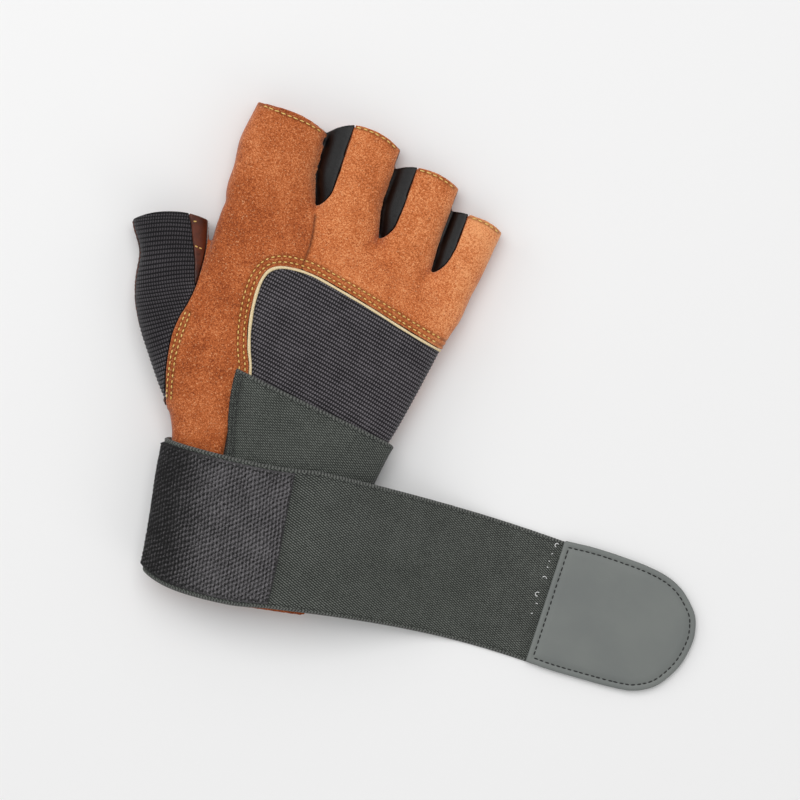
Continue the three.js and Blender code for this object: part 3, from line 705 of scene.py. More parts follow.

# %% [markdown]
# ## Cutting and felting the suede
# After the cut, a panel has sharp edges and uneven faces. A fine voxel remesh gives it an even skin and
# rounds its edges a little, as suede's raw edges are. Then `sculpt` moves every vertex along its normal:
# slow noise for the unevenness of hide, and a furrow where a row of stitches pulls it in. The distance to
# the stitch lines is kept in an attribute, so that the finish can paint shade into the furrow there.

# %% Stitch lines on the back
INNER_ROW, OUTER_ROW = 1.5, 3.9
HEM_INSET = 1.1
PANEL_EDGE = plan(*np.array([
    (-0.516, -0.03), (-0.5155, -0.0466), (-0.515, -0.0818), (-0.512, -0.1224), (-0.507, -0.153),
    (-0.4965, -0.186), (-0.4833, -0.2236), (-0.466, -0.262),
]).T)
stitch_lines = {
    "insert_inner": border(INSERT_BORDER, -INNER_ROW, 0.5),
    "insert_outer": border(INSERT_BORDER, -OUTER_ROW, 0.5),
    "panel_edge": border(PANEL_EDGE, 0, 0.5),
    "panel_inner": border(PANEL_EDGE, -1.9, 0.5),
    "finger_seam": border(FINGER_SEAM[:4], 0, 0.5),
}
for i, name in enumerate(FINGER_NAMES):
    stitch_lines[name + "_hem"] = hem_arc(i, BACK_REACH[i])[1:-1] - (0, HEM_INSET)


def distance_to(points, line):
    """How far each point lies from a line, seen from above."""
    nearest = np.full(len(points), 1e9)
    for a, b in zip(line[:-1], line[1:]):
        along = np.clip((points - a) @ (b - a) / ((b - a) @ (b - a) + 1e-12), 0, 1)
        nearest = np.minimum(nearest, np.linalg.norm(points - a - along[:, None] * (b - a), axis=1))
    return nearest


# %% Sculpting
FURROW_DEPTH, FURROW_WIDTH = 0.32, 0.75
HIDE_WAVES = table("size height", (16, 0.32), (5, 0.12))


def hide_relief(points):
    """The unevenness of hide, in millimetres, from noise of two sizes."""
    total = np.zeros(len(points))
    for size, height in zip(*HIDE_WAVES.values()):
        total += height * np.array([noise.noise(p) for p in (points / size).tolist()])
    return total


def sculpt(obj, relief):
    points, normals = read_points(obj.data), read_points(obj.data, "normal")
    write_points(obj.data, points + normals * relief(points)[:, None])


def leather_panel(name, cuts, voxel, lines, strength=1.0):
    panel = copy_of(shell, name)
    carve(panel, *cuts)
    modify(panel, "REMESH", mode="VOXEL", voxel_size=voxel * MM)
    modify(panel, "SMOOTH", factor=0.5, iterations=3)
    apply_modifiers(panel)
    above = read_points(panel.data)[:, 2] > SEAM_HEIGHT
    near = np.zeros(len(above))
    for key in lines:
        gap = distance_to(read_points(panel.data)[:, :2], stitch_lines[key][::3])
        near = np.maximum(near, np.exp(-((gap / FURROW_WIDTH) ** 2)) * above)
    sculpt(panel, lambda points: strength * hide_relief(points) - FURROW_DEPTH * near)
    # The attribute seam is the furrow's mask, and the suede's painted shade uses it.
    panel.data.attributes.new("seam", "FLOAT", "POINT").data.foreach_set("value", near.astype(np.float32))
    return panel


# %% [markdown]
# ## The finish of suede
# Suede is hide with a raised nap. Close up it is a mottle of lighter and darker fibre ends, and from afar
# it has slow clouds where the nap lies another way. Noise of four sizes gives both. A little sheen catches
# light at the edges, and the roughness is high all over.

# %% Suede and leather
def tone_by_place(finish, place):
    """Darker before the knuckles and lighter toward the little finger."""
    x = finish.add("SeparateXYZ", None, {0: place})
    y = Value(finish, x.socket.node.outputs["Y"])
    return finish.smooth(y, 36 * MM, 62 * MM) * 0.08 + finish.smooth(x, 24 * MM, 44 * MM) * 0.2 - 0.07


def suede(name, dark, middle, light):
    finish = Finish(name)
    place = finish.place()
    clouds = finish.noise(place, 26, 3, 0.6)
    patches = finish.noise(place, 7, 4, 0.65)
    grain = finish.noise(place, 0.85, 3, 0.6)
    fibre = finish.noise(finish.stretch(place, (1, 1.5, 1)), 0.5, 2, 0.7)
    tone = clouds * 0.5 + patches * 0.4 + grain * 0.9 + fibre * 1.5 - 1.65 + tone_by_place(finish, place)
    shade = finish.mix(finish.smooth(tone, -0.34, 0.05), dark, middle)
    shade = finish.mix(finish.smooth(tone, 0.0, 0.36), shade, light)
    specks = finish.smooth(finish.noise(place, 0.75, 2, 0.6), 0.6, 0.7)
    shade = finish.mix(specks * 0.6, shade, colour(238, 176, 128))
    # Painted shade: the suede is painted darker along the stitch lines, where the thread pulls the hide into a
    # furrow.
    shade = finish.mix(finish.attribute("seam") * 0.62, shade, colour(104, 56, 24))
    nap = finish.bump(grain * 0.6 + fibre * 0.4, 0.42)
    return finish.shade(
        base_color=shade, roughness=0.92, normal=nap, sheen_weight=0.22, sheen_roughness=0.45,
        specular_ior_level=0.25,
    )


index_suede = suede("index_suede", colour(128, 60, 28), colour(182, 96, 50), colour(224, 144, 94))
knuckle_suede = suede("knuckle_suede", colour(146, 72, 34), colour(202, 112, 62), colour(242, 166, 112))
palm_suede = suede("palm_suede", colour(112, 50, 24), colour(172, 86, 44), colour(206, 118, 68))
print("Suedes are mixed")

# %% Cutting the three suede panels
shell = copy_of(outer, "shell")
carve(shell, *less(hollow, cuff))
insert_cut, thumb_cut = insert_region(0), thumb_region(0)
back_cuts = [("INTERSECT", upper_side), *less(insert_cut, thumb_cut, beside_thumb, *hems, *strip_cutters)]
index_panel = leather_panel(
    "index_panel_suede", [("INTERSECT", index_region(-0.25)), *back_cuts], 0.5,
    ["insert_inner", "insert_outer", "panel_edge", "panel_inner", "finger_seam", "index_hem"],
)
knuckle_panel = leather_panel(
    "knuckle_panel_suede", [*less(index_region(0.25)), *back_cuts], 0.5,
    ["insert_inner", "insert_outer", "finger_seam", "middle_hem", "ring_hem", "little_hem"],
)
palm_cuts = [("INTERSECT", lower_side), *less(thumb_cut, beside_thumb, *palm_hems)]
palm_panel = leather_panel("palm_panel_suede", palm_cuts, 0.82, [], 0.6)
finish_piece(index_panel, index_suede, ["index_panel"])
finish_piece(knuckle_panel, knuckle_suede, ["knuckle_panel"])
finish_piece(palm_panel, palm_suede, ["palm_panel"])

# %% [markdown]
# ## The thumb's leather
# The inner side of the thumb is smooth leather, not suede: dark, a little shiny and finely creased. It is
# cut from the same skin, below and beside the knit of the thumb. Its shine comes from
# a low roughness, with fine pores and longer folds in the bump.

# %% Thumb leather
def smooth_leather(name, dark, light, rough, crease, shine):
    finish = Finish(name)
    place = finish.place()
    clouds = finish.noise(place, 9, 4, 0.6)
    shade = finish.mix(finish.smooth(clouds, 0.35, 0.65), dark, light)
    pores = finish.noise(place, 0.5, 3, 0.6)
    folds = finish.noise(finish.stretch(place, (1, 2.6, 1)), 3.2, 4, 0.65)
    normal = finish.bump(folds, crease, finish.bump(pores, 0.06))
    dull = finish.smooth(clouds, 0, 1) * 0.14 + rough
    return finish.shade(base_color=shade, roughness=dull, normal=normal, specular_ior_level=shine)


brown_leather = smooth_leather("thumb_leather", colour(54, 24, 13), colour(96, 46, 27), 0.36, 0.3, 0.45)
thumb_cuts = [("INTERSECT", thumb_region(0.3)), *less(thumb_knit_region(0), thumb_hem)]
thumb_piece = leather_panel("thumb_leather_panel", thumb_cuts, 0.5, [], 0.7)
finish_piece(thumb_piece, brown_leather, ["thumb_leather"])

# %% [markdown]
# ## The strips between the fingers
# Thin smooth strips join the back of one finger to the next and show as black bands. They lie a little
# lower than the suede, so they are cut from the skin after it has been drawn in by a Displace modifier.

# %% Strips
carve(strip_form, *less(hollow))
strip_finish = smooth_leather("strip_leather", colour(8, 6, 7), colour(14, 11, 13), 0.34, 0.12, 0.32)
for i in (1, 2, 3):
    name = f"strip_{FINGER_NAMES[i - 1]}_{FINGER_NAMES[i]}"
    strip = copy_of(strip_form, name)
    region, *rest = strip_region(i, 0.15)
    carve(region, *[("UNION", tool) for tool in rest])
    carve(strip, ("INTERSECT", region), ("INTERSECT", upper_side), *less(*hems))
    modify(strip, "REMESH", mode="VOXEL", voxel_size=0.45 * MM)
    modify(strip, "SMOOTH", factor=0.5, iterations=6)
    apply_modifiers(strip)
    finish_piece(strip, strip_finish, ["finger_" + name])

# %% [markdown]
# ## Ribbed knit
# The knit's ribs are real ridges, not a painted pattern, because they catch the light at every angle. A rib
# is 1.6 mm wide and runs across the hand. The skin of the palm tube is sampled in rows that follow the
# ribs, six rows to a rib, and each row is raised or sunk. A lookup from turn and y makes that quick.

# %% A lookup of the palm's skin
class Wrist:
    """Places on the palm tube's skin by turn and y, and the direction outward from them."""

    def __init__(self, first, last, count=900, step=0.5):
        self.turns = np.linspace(first, last, count)
        self.ys = np.arange(-120, 50, step)
        along = np.linspace(0, 1, 241)
        base = palm.surface(along, self.turns)
        grown = palm.surface(along, self.turns, 1.0) - base
        self.rows = np.empty((count, len(self.ys), 6))
        for k in range(count):
            for axis in range(3):
                self.rows[k, :, axis] = np.interp(self.ys, base[:, k, 1], base[:, k, axis])
                self.rows[k, :, axis + 3] = np.interp(self.ys, base[:, k, 1], grown[:, k, axis])

    def place(self, turn, y, outward):
        i = np.clip((turn - self.turns[0]) / (self.turns[-1] - self.turns[0]), 0, 1) * (len(self.turns) - 1)
        j = np.clip((y - self.ys[0]) / (self.ys[1] - self.ys[0]), 0, len(self.ys) - 1.001)
        i0, j0 = np.minimum(i.astype(int), len(self.turns) - 2), j.astype(int)
        u, v = (i - i0)[..., None], (j - j0)[..., None]
        near = self.rows[i0, j0] * (1 - v) + self.rows[i0, j0 + 1] * v
        far = self.rows[i0 + 1, j0] * (1 - v) + self.rows[i0 + 1, j0 + 1] * v
        found = near * (1 - u) + far * u
        return found[..., :3] + outward[..., None] * found[..., 3:]


wrist = Wrist(-0.95, 0.56)
print("Lookup rows:", wrist.rows.shape)

# %% Ribs on the back
RIB_PITCH, RIB_HEIGHT = 1.61, 0.45
RIB_SLOPE, RIB_BEND = 0.09, 0.0005
ROWS_PER_RIB = 6
RIBBED_FROM, RIBBED_TO, KNIT_FROM = -32, 46, -112
KNIT_TURNS = np.linspace(-0.03, 0.44, 120)


def rib_height(way):
    """The height of a ribbed skin over its grooves, from 0 to 1, at a way across the ribs."""
    return np.abs(np.cos(np.pi * way / RIB_PITCH)) ** 0.55


def knit_back():
    fine = np.arange(RIBBED_FROM, RIBBED_TO, RIB_PITCH / ROWS_PER_RIB)
    y0 = np.concatenate([np.arange(KNIT_FROM, RIBBED_FROM, 2.0), fine])[:, None]
    turn = KNIT_TURNS[None, :] + 0 * y0
    flat_x = wrist.place(turn, y0 + 0 * turn, 0 * turn)[..., 0]
    way = flat_x - flat_x[:, -1:]
    y = y0 - (RIB_SLOPE * way + RIB_BEND * way**2) * smoothstep(y0, -60, -30)
    raised = np.where(y0 > RIBBED_FROM, rib_height(y0), 0.6)
    top = wrist.place(turn, y, -KNIT_STEP - RIB_HEIGHT + RIB_HEIGHT * raised + 0 * turn)
    inner = wrist.place(turn, y, -KNIT_STEP - KNIT_WALL + 0 * turn)
    spot = columns_of(grid_ways(top, 1), y0, raised / MM)
    return loft("knit_back", there_and_back(top, inner[:, ::-1]), there_and_back(spot, spot[:, ::-1]))


knit_insert = knit_back()
knit_cuff = past(border(CUFF_LINE)[::-1] + (0, 4), (0, -1))
above_seam = slab(SEAM_HEIGHT - 0.5, FAR)
carve(knit_insert, ("INTERSECT", insert_region(0.5)), ("INTERSECT", above_seam), *less(knit_cuff))

# %% Ribs on the thumb
THUMB_ALONG = (0.12, 0.955)
THUMB_TILT = 0.085
THUMB_TURNS = np.linspace(-0.06, 0.56, 110)


def knit_thumb():
    """Rows across the thumb that bulge toward the hem as its arc does, and tilt further down."""
    steps = np.arange(0, (THUMB_ALONG[1] - THUMB_ALONG[0]) * thumb.length, RIB_PITCH / ROWS_PER_RIB)
    start = THUMB_ALONG[0] + steps / thumb.length
    fine = np.linspace(0, 1, 400)
    skin = thumb.surface(fine, THUMB_TURNS)
    grown = thumb.surface(fine, THUMB_TURNS, 1.0) - skin
    across = np.cos(2 * np.pi * THUMB_TURNS)
    tilt = THUMB_TILT * smoothstep(start, 0.25, 0.7)[:, None]
    follow = 0.12 + 0.6 * np.exp(-steps / 12)[:, None]
    bulge = THUMB_BULGE * THUMB_WIDTH * (1 - across**2) / thumb.length
    share = start[:, None] - follow * bulge - tilt * across / 2
    raised = rib_height(steps)[:, None] + 0 * share
    out = -KNIT_STEP - RIB_HEIGHT + RIB_HEIGHT * raised
    sampled = np.empty(share.shape + (6,))
    for k in range(len(THUMB_TURNS)):
        for axis in range(3):
            sampled[:, k, axis] = np.interp(share[:, k], fine, skin[:, k, axis])
            sampled[:, k, axis + 3] = np.interp(share[:, k], fine, grown[:, k, axis])
    top = sampled[..., :3] + out[..., None] * sampled[..., 3:]
    inner = sampled[..., :3] - (KNIT_STEP + KNIT_WALL) * sampled[..., 3:]
    spot = columns_of(grid_ways(top, 1), steps[:, None], raised / MM)
    return loft("knit_thumb", there_and_back(top, inner[:, ::-1]), there_and_back(spot, spot[:, ::-1]))


thumb_knit = knit_thumb()
thumb_knit_cut = thumb_knit_region(0.15)
carve(thumb_knit, ("INTERSECT", thumb_region(0.3)), ("INTERSECT", thumb_knit_cut), *less(thumb_hem, cuff))

# %% [markdown]
# ## The finish of the knit
# Each rib is a column of stitches, so small steps run along it. The cloth attribute holds the place on the
# flat cloth and, as its third number, the rib's height. The yarn is charcoal. The crown of a rib and the
# tops of its steps are painted lighter as painted highlight, and its grooves darker as painted shade.

# %% Knit finish
def ribbed_knit(name):
    finish = Finish(name)
    spot = finish.attribute("cloth", "Vector")
    parts = finish.add("SeparateXYZ", None, {0: spot})
    ridge = Value(finish, parts.socket.node.outputs["Z"])
    along = parts * (2 * math.pi / (1.1 * MM))
    steps = along.math("SINE") * 0.5 + 0.5
    fuzz = finish.noise(finish.place(), 0.45, 3, 0.7)
    wear = finish.noise(finish.place(), 8, 3, 0.6)
    lit_crown = finish.smooth(ridge, 0.45, 1.0)
    # Painted highlight and shade: crowns of ribs and tops of steps are painted lighter, grooves darker; fuzz
    # and wear add random tone.
    bright = lit_crown * (0.12 + steps * 0.72) + (fuzz - 0.5) * 0.9 + (wear - 0.5) * 0.4
    shade = finish.mix(finish.smooth(bright, 0.0, 0.95), colour(25, 22, 26), colour(122, 117, 122))
    # Painted shade: the knit is painted darker where x is below -52 mm, on the thumb, where the light falls
    # off.
    x = finish.add("SeparateXYZ", None, {0: finish.place()})
    shade = finish.mix(finish.smooth(x, -52 * MM, -66 * MM) * 0.62, shade, colour(16, 13, 18))
    normal = finish.bump(steps * lit_crown * 0.7 + fuzz * 0.5, 0.36)
    return finish.shade(
        base_color=shade, roughness=0.88, normal=normal, sheen_weight=0.12, specular_ior_level=0.3,
    )


knit_finish = ribbed_knit("ribbed_knit")
finish_piece(knit_insert, knit_finish, ["knit_insert"])
finish_piece(thumb_knit, knit_finish, ["thumb_back"])

# %% [markdown]
# ## The elastic wrap
# The wrap is one strap, 58 mm wide and about 360 mm long. It starts at a hemmed end on the back, goes once
# round the wrist and runs out flat. Its path is a table of turns, and its section is a flat oval with a
# woven bead along both edges. Every station is laid on the lookup of the palm's skin, grown by the layers
# below it.

# %% The wrap's path and section
WRAP_ROWS = table(
    "turn edge spread",
    (0.345, -0.1205, 0.995), (0.25, -0.133, 1.01), (0.0, -0.1655, 0.995), (-0.25, -0.25, 0.97),
    (-0.44, -0.338, 0.93), (-0.52, -0.348, 0.965), (-0.62, -0.341, 1.025), (-0.75, -0.32, 1.05),
    (-0.86, -0.289, 1.055),
)
WRAP_END = (-0.2345, -0.5565)
WRAP_DROP = (0.02, 0.72)
EDGE_SHARPNESS = 80
BEAD = {"from_edge": 0.9, "width": 0.45, "height": 0.14}


def wrap_at(turn):
    """The y of the wrap's near edge and its spread along Y, at turns."""
    columns = [WRAP_ROWS["turn"], WRAP_ROWS["edge"] * PALM_LENGTH, WRAP_ROWS["spread"] * WRAP_WIDTH]
    fine = spline(np.column_stack(columns), np.linspace(0, 1, 3000))[::-1]
    return np.interp(turn, fine[:, 0], fine[:, 1]), np.interp(turn, fine[:, 0], fine[:, 2])


def layer_at(turn):
    climb = smoothstep(-turn, 0.46, 0.6)
    return WRAP_GAP + (SECOND_LAYER - WRAP_GAP) * climb


def strap_section(top_count, under_count):
    """Shares across the strap and heights from its middle, -1 to 1, once round."""
    def shares(count):
        even = np.linspace(0, 1, count)
        return 0.55 * even + 0.45 * (0.5 - 0.5 * np.cos(np.pi * even))

    top, under = shares(top_count), shares(under_count)[::-1]
    body = [np.sqrt(1 - np.abs(2 * s - 1) ** EDGE_SHARPNESS) for s in (top, under)]
    return np.concatenate([top, under[1:]]), np.concatenate([body[0], -body[1][1:]])


def strap_relief(share):
    """The woven bead near both edges, and the groove inside it, in millimetres."""
    from_edge = np.minimum(share, 1 - share) * WRAP_WIDTH
    bead = np.exp(-(((from_edge - BEAD["from_edge"]) / BEAD["width"]) ** 2))
    groove = np.exp(-(((from_edge - 2.2 * BEAD["from_edge"]) / (0.7 * BEAD["width"])) ** 2))
    return BEAD["height"] * (bead - groove)


# %% Laying the wrap round the wrist and out
LAP_STATIONS, FREE_STATIONS = 330, 130
TOP_POINTS, UNDER_POINTS = 72, 30
LAP_LENGTH = 240


def lay_strap():
    share, height = strap_section(TOP_POINTS, UNDER_POINTS)
    hem_turns = WRAP_ROWS["turn"][0] - np.linspace(0, 0.035, 30)
    turn = np.concatenate([hem_turns[:-1], np.linspace(hem_turns[-1], WRAP_ROWS["turn"][-1], LAP_STATIONS)])
    edge, spread = wrap_at(turn)
    way = (turn[0] - turn) * LAP_LENGTH
    wall = WRAP_WALL + (HEM_WALL - WRAP_WALL) * (1 - smoothstep(way, HEM_WIDTH - 0.5, HEM_WIDTH + 0.5))
    wall = wall * (1 - 0.55 * np.exp(-way / 0.5))
    outward = layer_at(turn)[:, None] + wall[:, None] * (1 + height) / 2
    outward += np.where(height > 0.5, strap_relief(share), 0)
    y = edge[:, None] - share * spread[:, None]
    lap = wrist.place(turn[:, None] + 0 * y, y, outward)
    out = np.linspace(0, 1, FREE_STATIONS + 1)[1:, None]
    last = lap[-1]
    end_y = (WRAP_END[0] + (WRAP_END[1] - WRAP_END[0]) * share) * PALM_LENGTH
    floor_z = WRAP_WALL * (1 + height) / 2 + np.where(height > 0.5, strap_relief(share), 0)
    x = last[:, 0] + ((last[0, 0] + FREE_LENGTH) - last[:, 0]) * out
    bend = (1 - out) ** 1.8
    y = end_y + (last[:, 1] - end_y) * bend
    z = last[:, 2] + (floor_z - last[:, 2]) * smoothstep(out, *WRAP_DROP)
    points = np.concatenate([lap, np.stack([x, y, z], axis=-1)])
    along = path_length(points[:, TOP_POINTS // 2])
    return points, columns_of(along[:, None], share * WRAP_WIDTH, 0)


strap_points, strap_cloth = lay_strap()
strap_length = strap_cloth[-1, 0, 0]
wrap = loft("wrist_wrap_strap", strap_points, strap_cloth)
print("The strap is", round(strap_length), "mm long")

# %% [markdown]
# ## The finish of woven elastic
# Elastic is a twill: its threads show as short diagonal dashes. The cloth attribute gives the place along
# and across the strap, and two waves on slanted coordinates give the diagonal and break it into dashes.
# Along both edges the weave changes to a plain selvage, which is smoother and a little lighter.

# %% Elastic finish
TWILL_PITCH, TWILL_DASH = 0.84, 1.3
TWILL_ANGLE = math.radians(29)


def woven_elastic(name):
    finish = Finish(name)
    parts = finish.add("SeparateXYZ", None, {0: finish.attribute("cloth", "Vector")})
    u, v = parts, Value(finish, parts.socket.node.outputs["Y"])
    warp = finish.noise(finish.place(), 3.0, 2, 0.5) * (0.35 * MM)
    c, s = math.cos(TWILL_ANGLE), math.sin(TWILL_ANGLE)
    across = (v * c - u * s + warp) * (2 * math.pi / (TWILL_PITCH * MM))
    along = (u * c + v * s) * (2 * math.pi / (TWILL_DASH * MM))
    row = across.math("SINE") * 0.5 + 0.5
    dash = (along + across * 0.5).math("SINE") * 0.5 + 0.5
    weave = row * (0.45 + dash * 0.55)
    fuzz = finish.noise(finish.place(), 0.6, 3, 0.7)
    wear = finish.noise(finish.place(), 14, 3, 0.6)
    bright = weave * 0.7 + (fuzz - 0.5) * 0.9 + (wear - 0.5) * 0.2
    body = finish.mix(finish.smooth(bright, 0.0, 0.95), colour(40, 43, 40), colour(130, 134, 128))
    middle = (v - WRAP_WIDTH * MM / 2).math("ABSOLUTE")
    selvage = finish.smooth(middle, (WRAP_WIDTH / 2 - 1.3) * MM, (WRAP_WIDTH / 2 - 1.1) * MM)
    ticks = (u * (2 * math.pi / (1.3 * MM))).math("SINE") * 0.25 + fuzz
    cord = finish.mix(finish.smooth(ticks, 0.2, 0.8), colour(46, 48, 46), colour(108, 110, 106))
    shade = finish.mix(selvage, body, cord)
    hem = finish.smooth(u, (HEM_WIDTH + 0.3) * MM, (HEM_WIDTH - 0.2) * MM)
    shade = finish.mix(hem * 0.14, shade, colour(22, 24, 23))
    normal = finish.bump(weave * 0.7 + fuzz * 0.3, 0.26)
    return finish.shade(
        base_color=shade, roughness=0.9, normal=normal, sheen_weight=0.1, specular_ior_level=0.25,
    )


elastic_finish = woven_elastic("woven_elastic")
finish_piece(wrap, elastic_finish, ["wrist_wrap"])

# %% [markdown]
# ## The loop patch
# The soft half of the hook-and-loop fastening is sewn on the second layer: a field of tiny loops. Each loop
# is too small to build one by one, so the patch's skin is raised and sunk in offset rows, five points to a
# loop, with noise that makes the rows uneven. Its edges come down to the strap.

# %% Loop patch
PATCH = {
    "from": -0.45, "distal_end": -0.808, "proximal_end": -0.849, "margin": 1.8, "wall": 1.1,
    "width": 54, "row_pitch": 1.66, "column_pitch": 1.45, "lean": 54, "loop_height": 0.34,
}
PATCH_GRID = (300, 170)


def lay_patch():
    share = np.linspace(0, 1, PATCH_GRID[1])
    k = np.linspace(0, 1, PATCH_GRID[0])[:, None]
    end = PATCH["distal_end"] + (PATCH["proximal_end"] - PATCH["distal_end"]) * share
    turn = PATCH["from"] + (end - PATCH["from"]) * k
    edge, spread = wrap_at(turn)
    y = edge - PATCH["margin"] - share * (spread - 2 * PATCH["margin"])
    seat = layer_at(turn) + WRAP_WALL - 0.1
    ground = wrist.place(turn, y, seat)
    u = grid_ways(ground, 0)
    v = share * (WRAP_WIDTH - 2 * PATCH["margin"]) + 0 * k
    lean = math.radians(PATCH["lean"])
    stray = np.array([[noise.noise((a / 5, b / 5, 3)) for b in v[0]] for a in u[:, 0]])
    row = (u * math.cos(lean) + v * math.sin(lean)) / PATCH["row_pitch"] + 0.35 * stray
    column = (u - 0.03 * v) / PATCH["column_pitch"] + 0.25 * stray
    loops = (np.cos(2 * np.pi * row) + np.cos(2 * np.pi * column)) / 2
    rough = chance.normal(0, 0.34, loops.shape)
    rim = np.minimum(np.minimum(share, 1 - share) * PATCH["width"], np.minimum(u, u[-1:] - u) + 0.02)
    body = 1 - np.exp(-((rim / 0.55) ** 2))
    pile = smoothstep(rim, 0.5, 1.1) * (loops + rough)
    height = (PATCH["wall"] + 0.1 + PATCH["loop_height"] * pile) * body
    top = wrist.place(turn, y, seat + height)
    columns = np.linspace(len(share) - 1, 0, 12).astype(int)
    spot = columns_of(u, v, pile / MM)
    return there_and_back(top, ground[:, columns]), there_and_back(spot, spot[:, columns])


def loop_pile(name):
    finish = Finish(name)
    parts = finish.add("SeparateXYZ", None, {0: finish.attribute("cloth", "Vector")})
    loops = Value(finish, parts.socket.node.outputs["Z"])
    fuzz = finish.noise(finish.place(), 0.4, 3, 0.75)
    wear = finish.noise(finish.place(), 9, 3, 0.6)
    # Painted light and shade: loop tops are lighter than the hollows between them; the pile is darker near the
    # patch's start, where it turns down the wrist's side, and lighter from 22 mm along it, on top.
    far = finish.smooth(parts, 22 * MM, 44 * MM)
    bright = loops * 0.3 + fuzz * 1.6 + wear * 0.3 + far * 0.34 - 0.93
    shade = finish.mix(finish.smooth(bright, 0.0, 1.0), colour(12, 11, 12), colour(132, 129, 132))
    normal = finish.bump(fuzz, 0.3)
    return finish.shade(base_color=shade, roughness=0.75, normal=normal, specular_ior_level=0.4)


patch = loft("loop_patch_pile", *lay_patch())
pile_finish = loop_pile("loop_pile")
finish_piece(patch, pile_finish, ["loop_patch"])

# %% [markdown]
# ## The tab
# A stiff tab of smooth grey sheet closes the strap's end. Its outline is a spline through points measured
# on the photograph. The sheet is a loft of that outline, drawn inward ring by ring and set at the heights
# of a profile: a rounded rim, a groove for the thread and a face that is a little raised. The plate of
# hooks below it is lofted the same way, smaller by a margin.

# %% Tab and hook plate
TAB = {"wall": 1.6, "turn": 3, "overlap": 10, "hook_margin": 3}
STITCH_INSET = 2.5
TAB_OUTLINE = np.array([
    (-0.3, -26.5), (10, -26.9), (24, -26.5), (39.1, -25.7), (47, -24.4), (54.9, -20), (59.6, -14),
    (62.8, -7.3), (64.2, -0.7), (64.5, 5.1), (62.3, 13.3), (58.4, 18.2), (53.1, 22.7), (46.5, 25.7),
    (38, 27.3), (24.2, 28), (12, 27.9), (0.1, 26.9),
])
wrap_end = strap_points[-1]
tab_middle = np.array([wrap_end[0, 0] - TAB["overlap"], (wrap_end[:, 1].min() + wrap_end[:, 1].max()) / 2])


def tab_outline(start, margin):
    """The tab's outline in its own frame, from its lower corner round the end to the upper one."""
    line = border(TAB_OUTLINE, -margin, 1.2)
    kept = line[line[:, 0] > start + 0.5]
    return np.array([(start, kept[0, 1]), *kept, (start, kept[-1, 1])])


def on_tab(points):
    """From the tab's frame to the hand's."""
    return turned(points, math.radians(TAB["turn"])) + tab_middle


def plate(name, start, margin, low, profile, count=150):
    """A plate whose rim follows a profile: rows of a margin from its outline and a height."""
    rings = []
    for inward, height in profile:
        ring = on_tab(tab_outline(start + inward, margin + inward))
        ring = np.vstack([ring, ring[:1]])
        ring = resample(ring, np.linspace(0, path_length(ring)[-1], count))
        rings.append(np.column_stack([ring, np.full(count, low + height)]))
    return loft(name, np.array(rings))


wall, groove = TAB["wall"], STITCH_INSET
TAB_PROFILE = (
    (0.6, 0), (0.15, 0.1), (0, 0.45), (0, wall - 0.5), (0.15, wall - 0.15), (0.5, wall),
    (groove - 0.7, wall - 0.02), (groove - 0.2, wall - 0.25), (groove + 0.2, wall - 0.25),
    (groove + 0.8, wall + 0.05), (groove + 3, wall + 0.15),
)
HOOK_PROFILE = ((0.3, 0), (0, 0.3), (0, WRAP_WALL), (0.3, WRAP_WALL + 0.05))
tab = plate("end_tab_sheet", 0, 0, WRAP_WALL + 0.1, TAB_PROFILE)
hooks = plate("hook_plate", TAB["overlap"] + TAB["hook_margin"], TAB["hook_margin"], 0, HOOK_PROFILE)


def grey_sheet(name):
    finish = Finish(name)
    place = finish.place()
    clouds = finish.noise(place, 22, 3, 0.5)
    grain = finish.noise(place, 0.7, 3, 0.6)
    shade = finish.mix(finish.smooth(clouds, 0.3, 0.7), colour(106, 110, 108), colour(112, 116, 113))
    return finish.shade(base_color=shade, roughness=clouds * 0.06 + 0.5, normal=finish.bump(grain, 0.05))


finish_piece(tab, grey_sheet("grey_sheet"), ["end_tab"])
finish_piece(hooks, pile_finish, ["hook_pad"])

# %% [markdown]
# ## Piping
# A cream cord shows between the suede and the knit. It is swept along the insert's border: a small circle
# is turned to the border's direction and placed every half millimetre, and a loft joins the rings.

# %% Piping along the insert
skin_tree = BVHTree.FromPolygons(
    read_points(outer.data).tolist(), [tuple(face.vertices) for face in outer.data.polygons]
)


def on_skin(line):
    """Places and normals on the glove's back below points in plan."""
    places, normals = [], []
    for x, y in line:
        hit, normal, _, _ = skin_tree.ray_cast(Vector((x, y, 80)), Vector((0, 0, -1)))
        if hit is not None and hit.z > SEAM_HEIGHT:
            places.append(hit)
            normals.append(normal)
    return np.array(places), np.array(normals)


def cord_rings(places, normals, radius, sides=12):
    """Rings of a round cord along places. radius may change along it."""
    tangent = np.gradient(places, axis=0)
    tangent /= np.linalg.norm(tangent, axis=1, keepdims=True)
    side = np.cross(tangent, normals)
    side /= np.linalg.norm(side, axis=1, keepdims=True)
    rise = np.cross(side, tangent)
    angle = np.linspace(0, 2 * np.pi, sides + 1)
    radius = np.broadcast_to(radius, len(places))[:, None, None]
    circle = side[:, None] * np.cos(angle)[None, :, None] + rise[:, None] * np.sin(angle)[None, :, None]
    return places[:, None] + radius * circle


def thread_finish(name, dark, light, rough=0.6):
    finish = Finish(name)
    twist = finish.noise(finish.place(), 0.3, 2, 0.6)
    shade = finish.mix(finish.smooth(twist, 0.3, 0.7), dark, light)
    return finish.shade(base_color=shade, roughness=rough, normal=finish.bump(twist, 0.12))


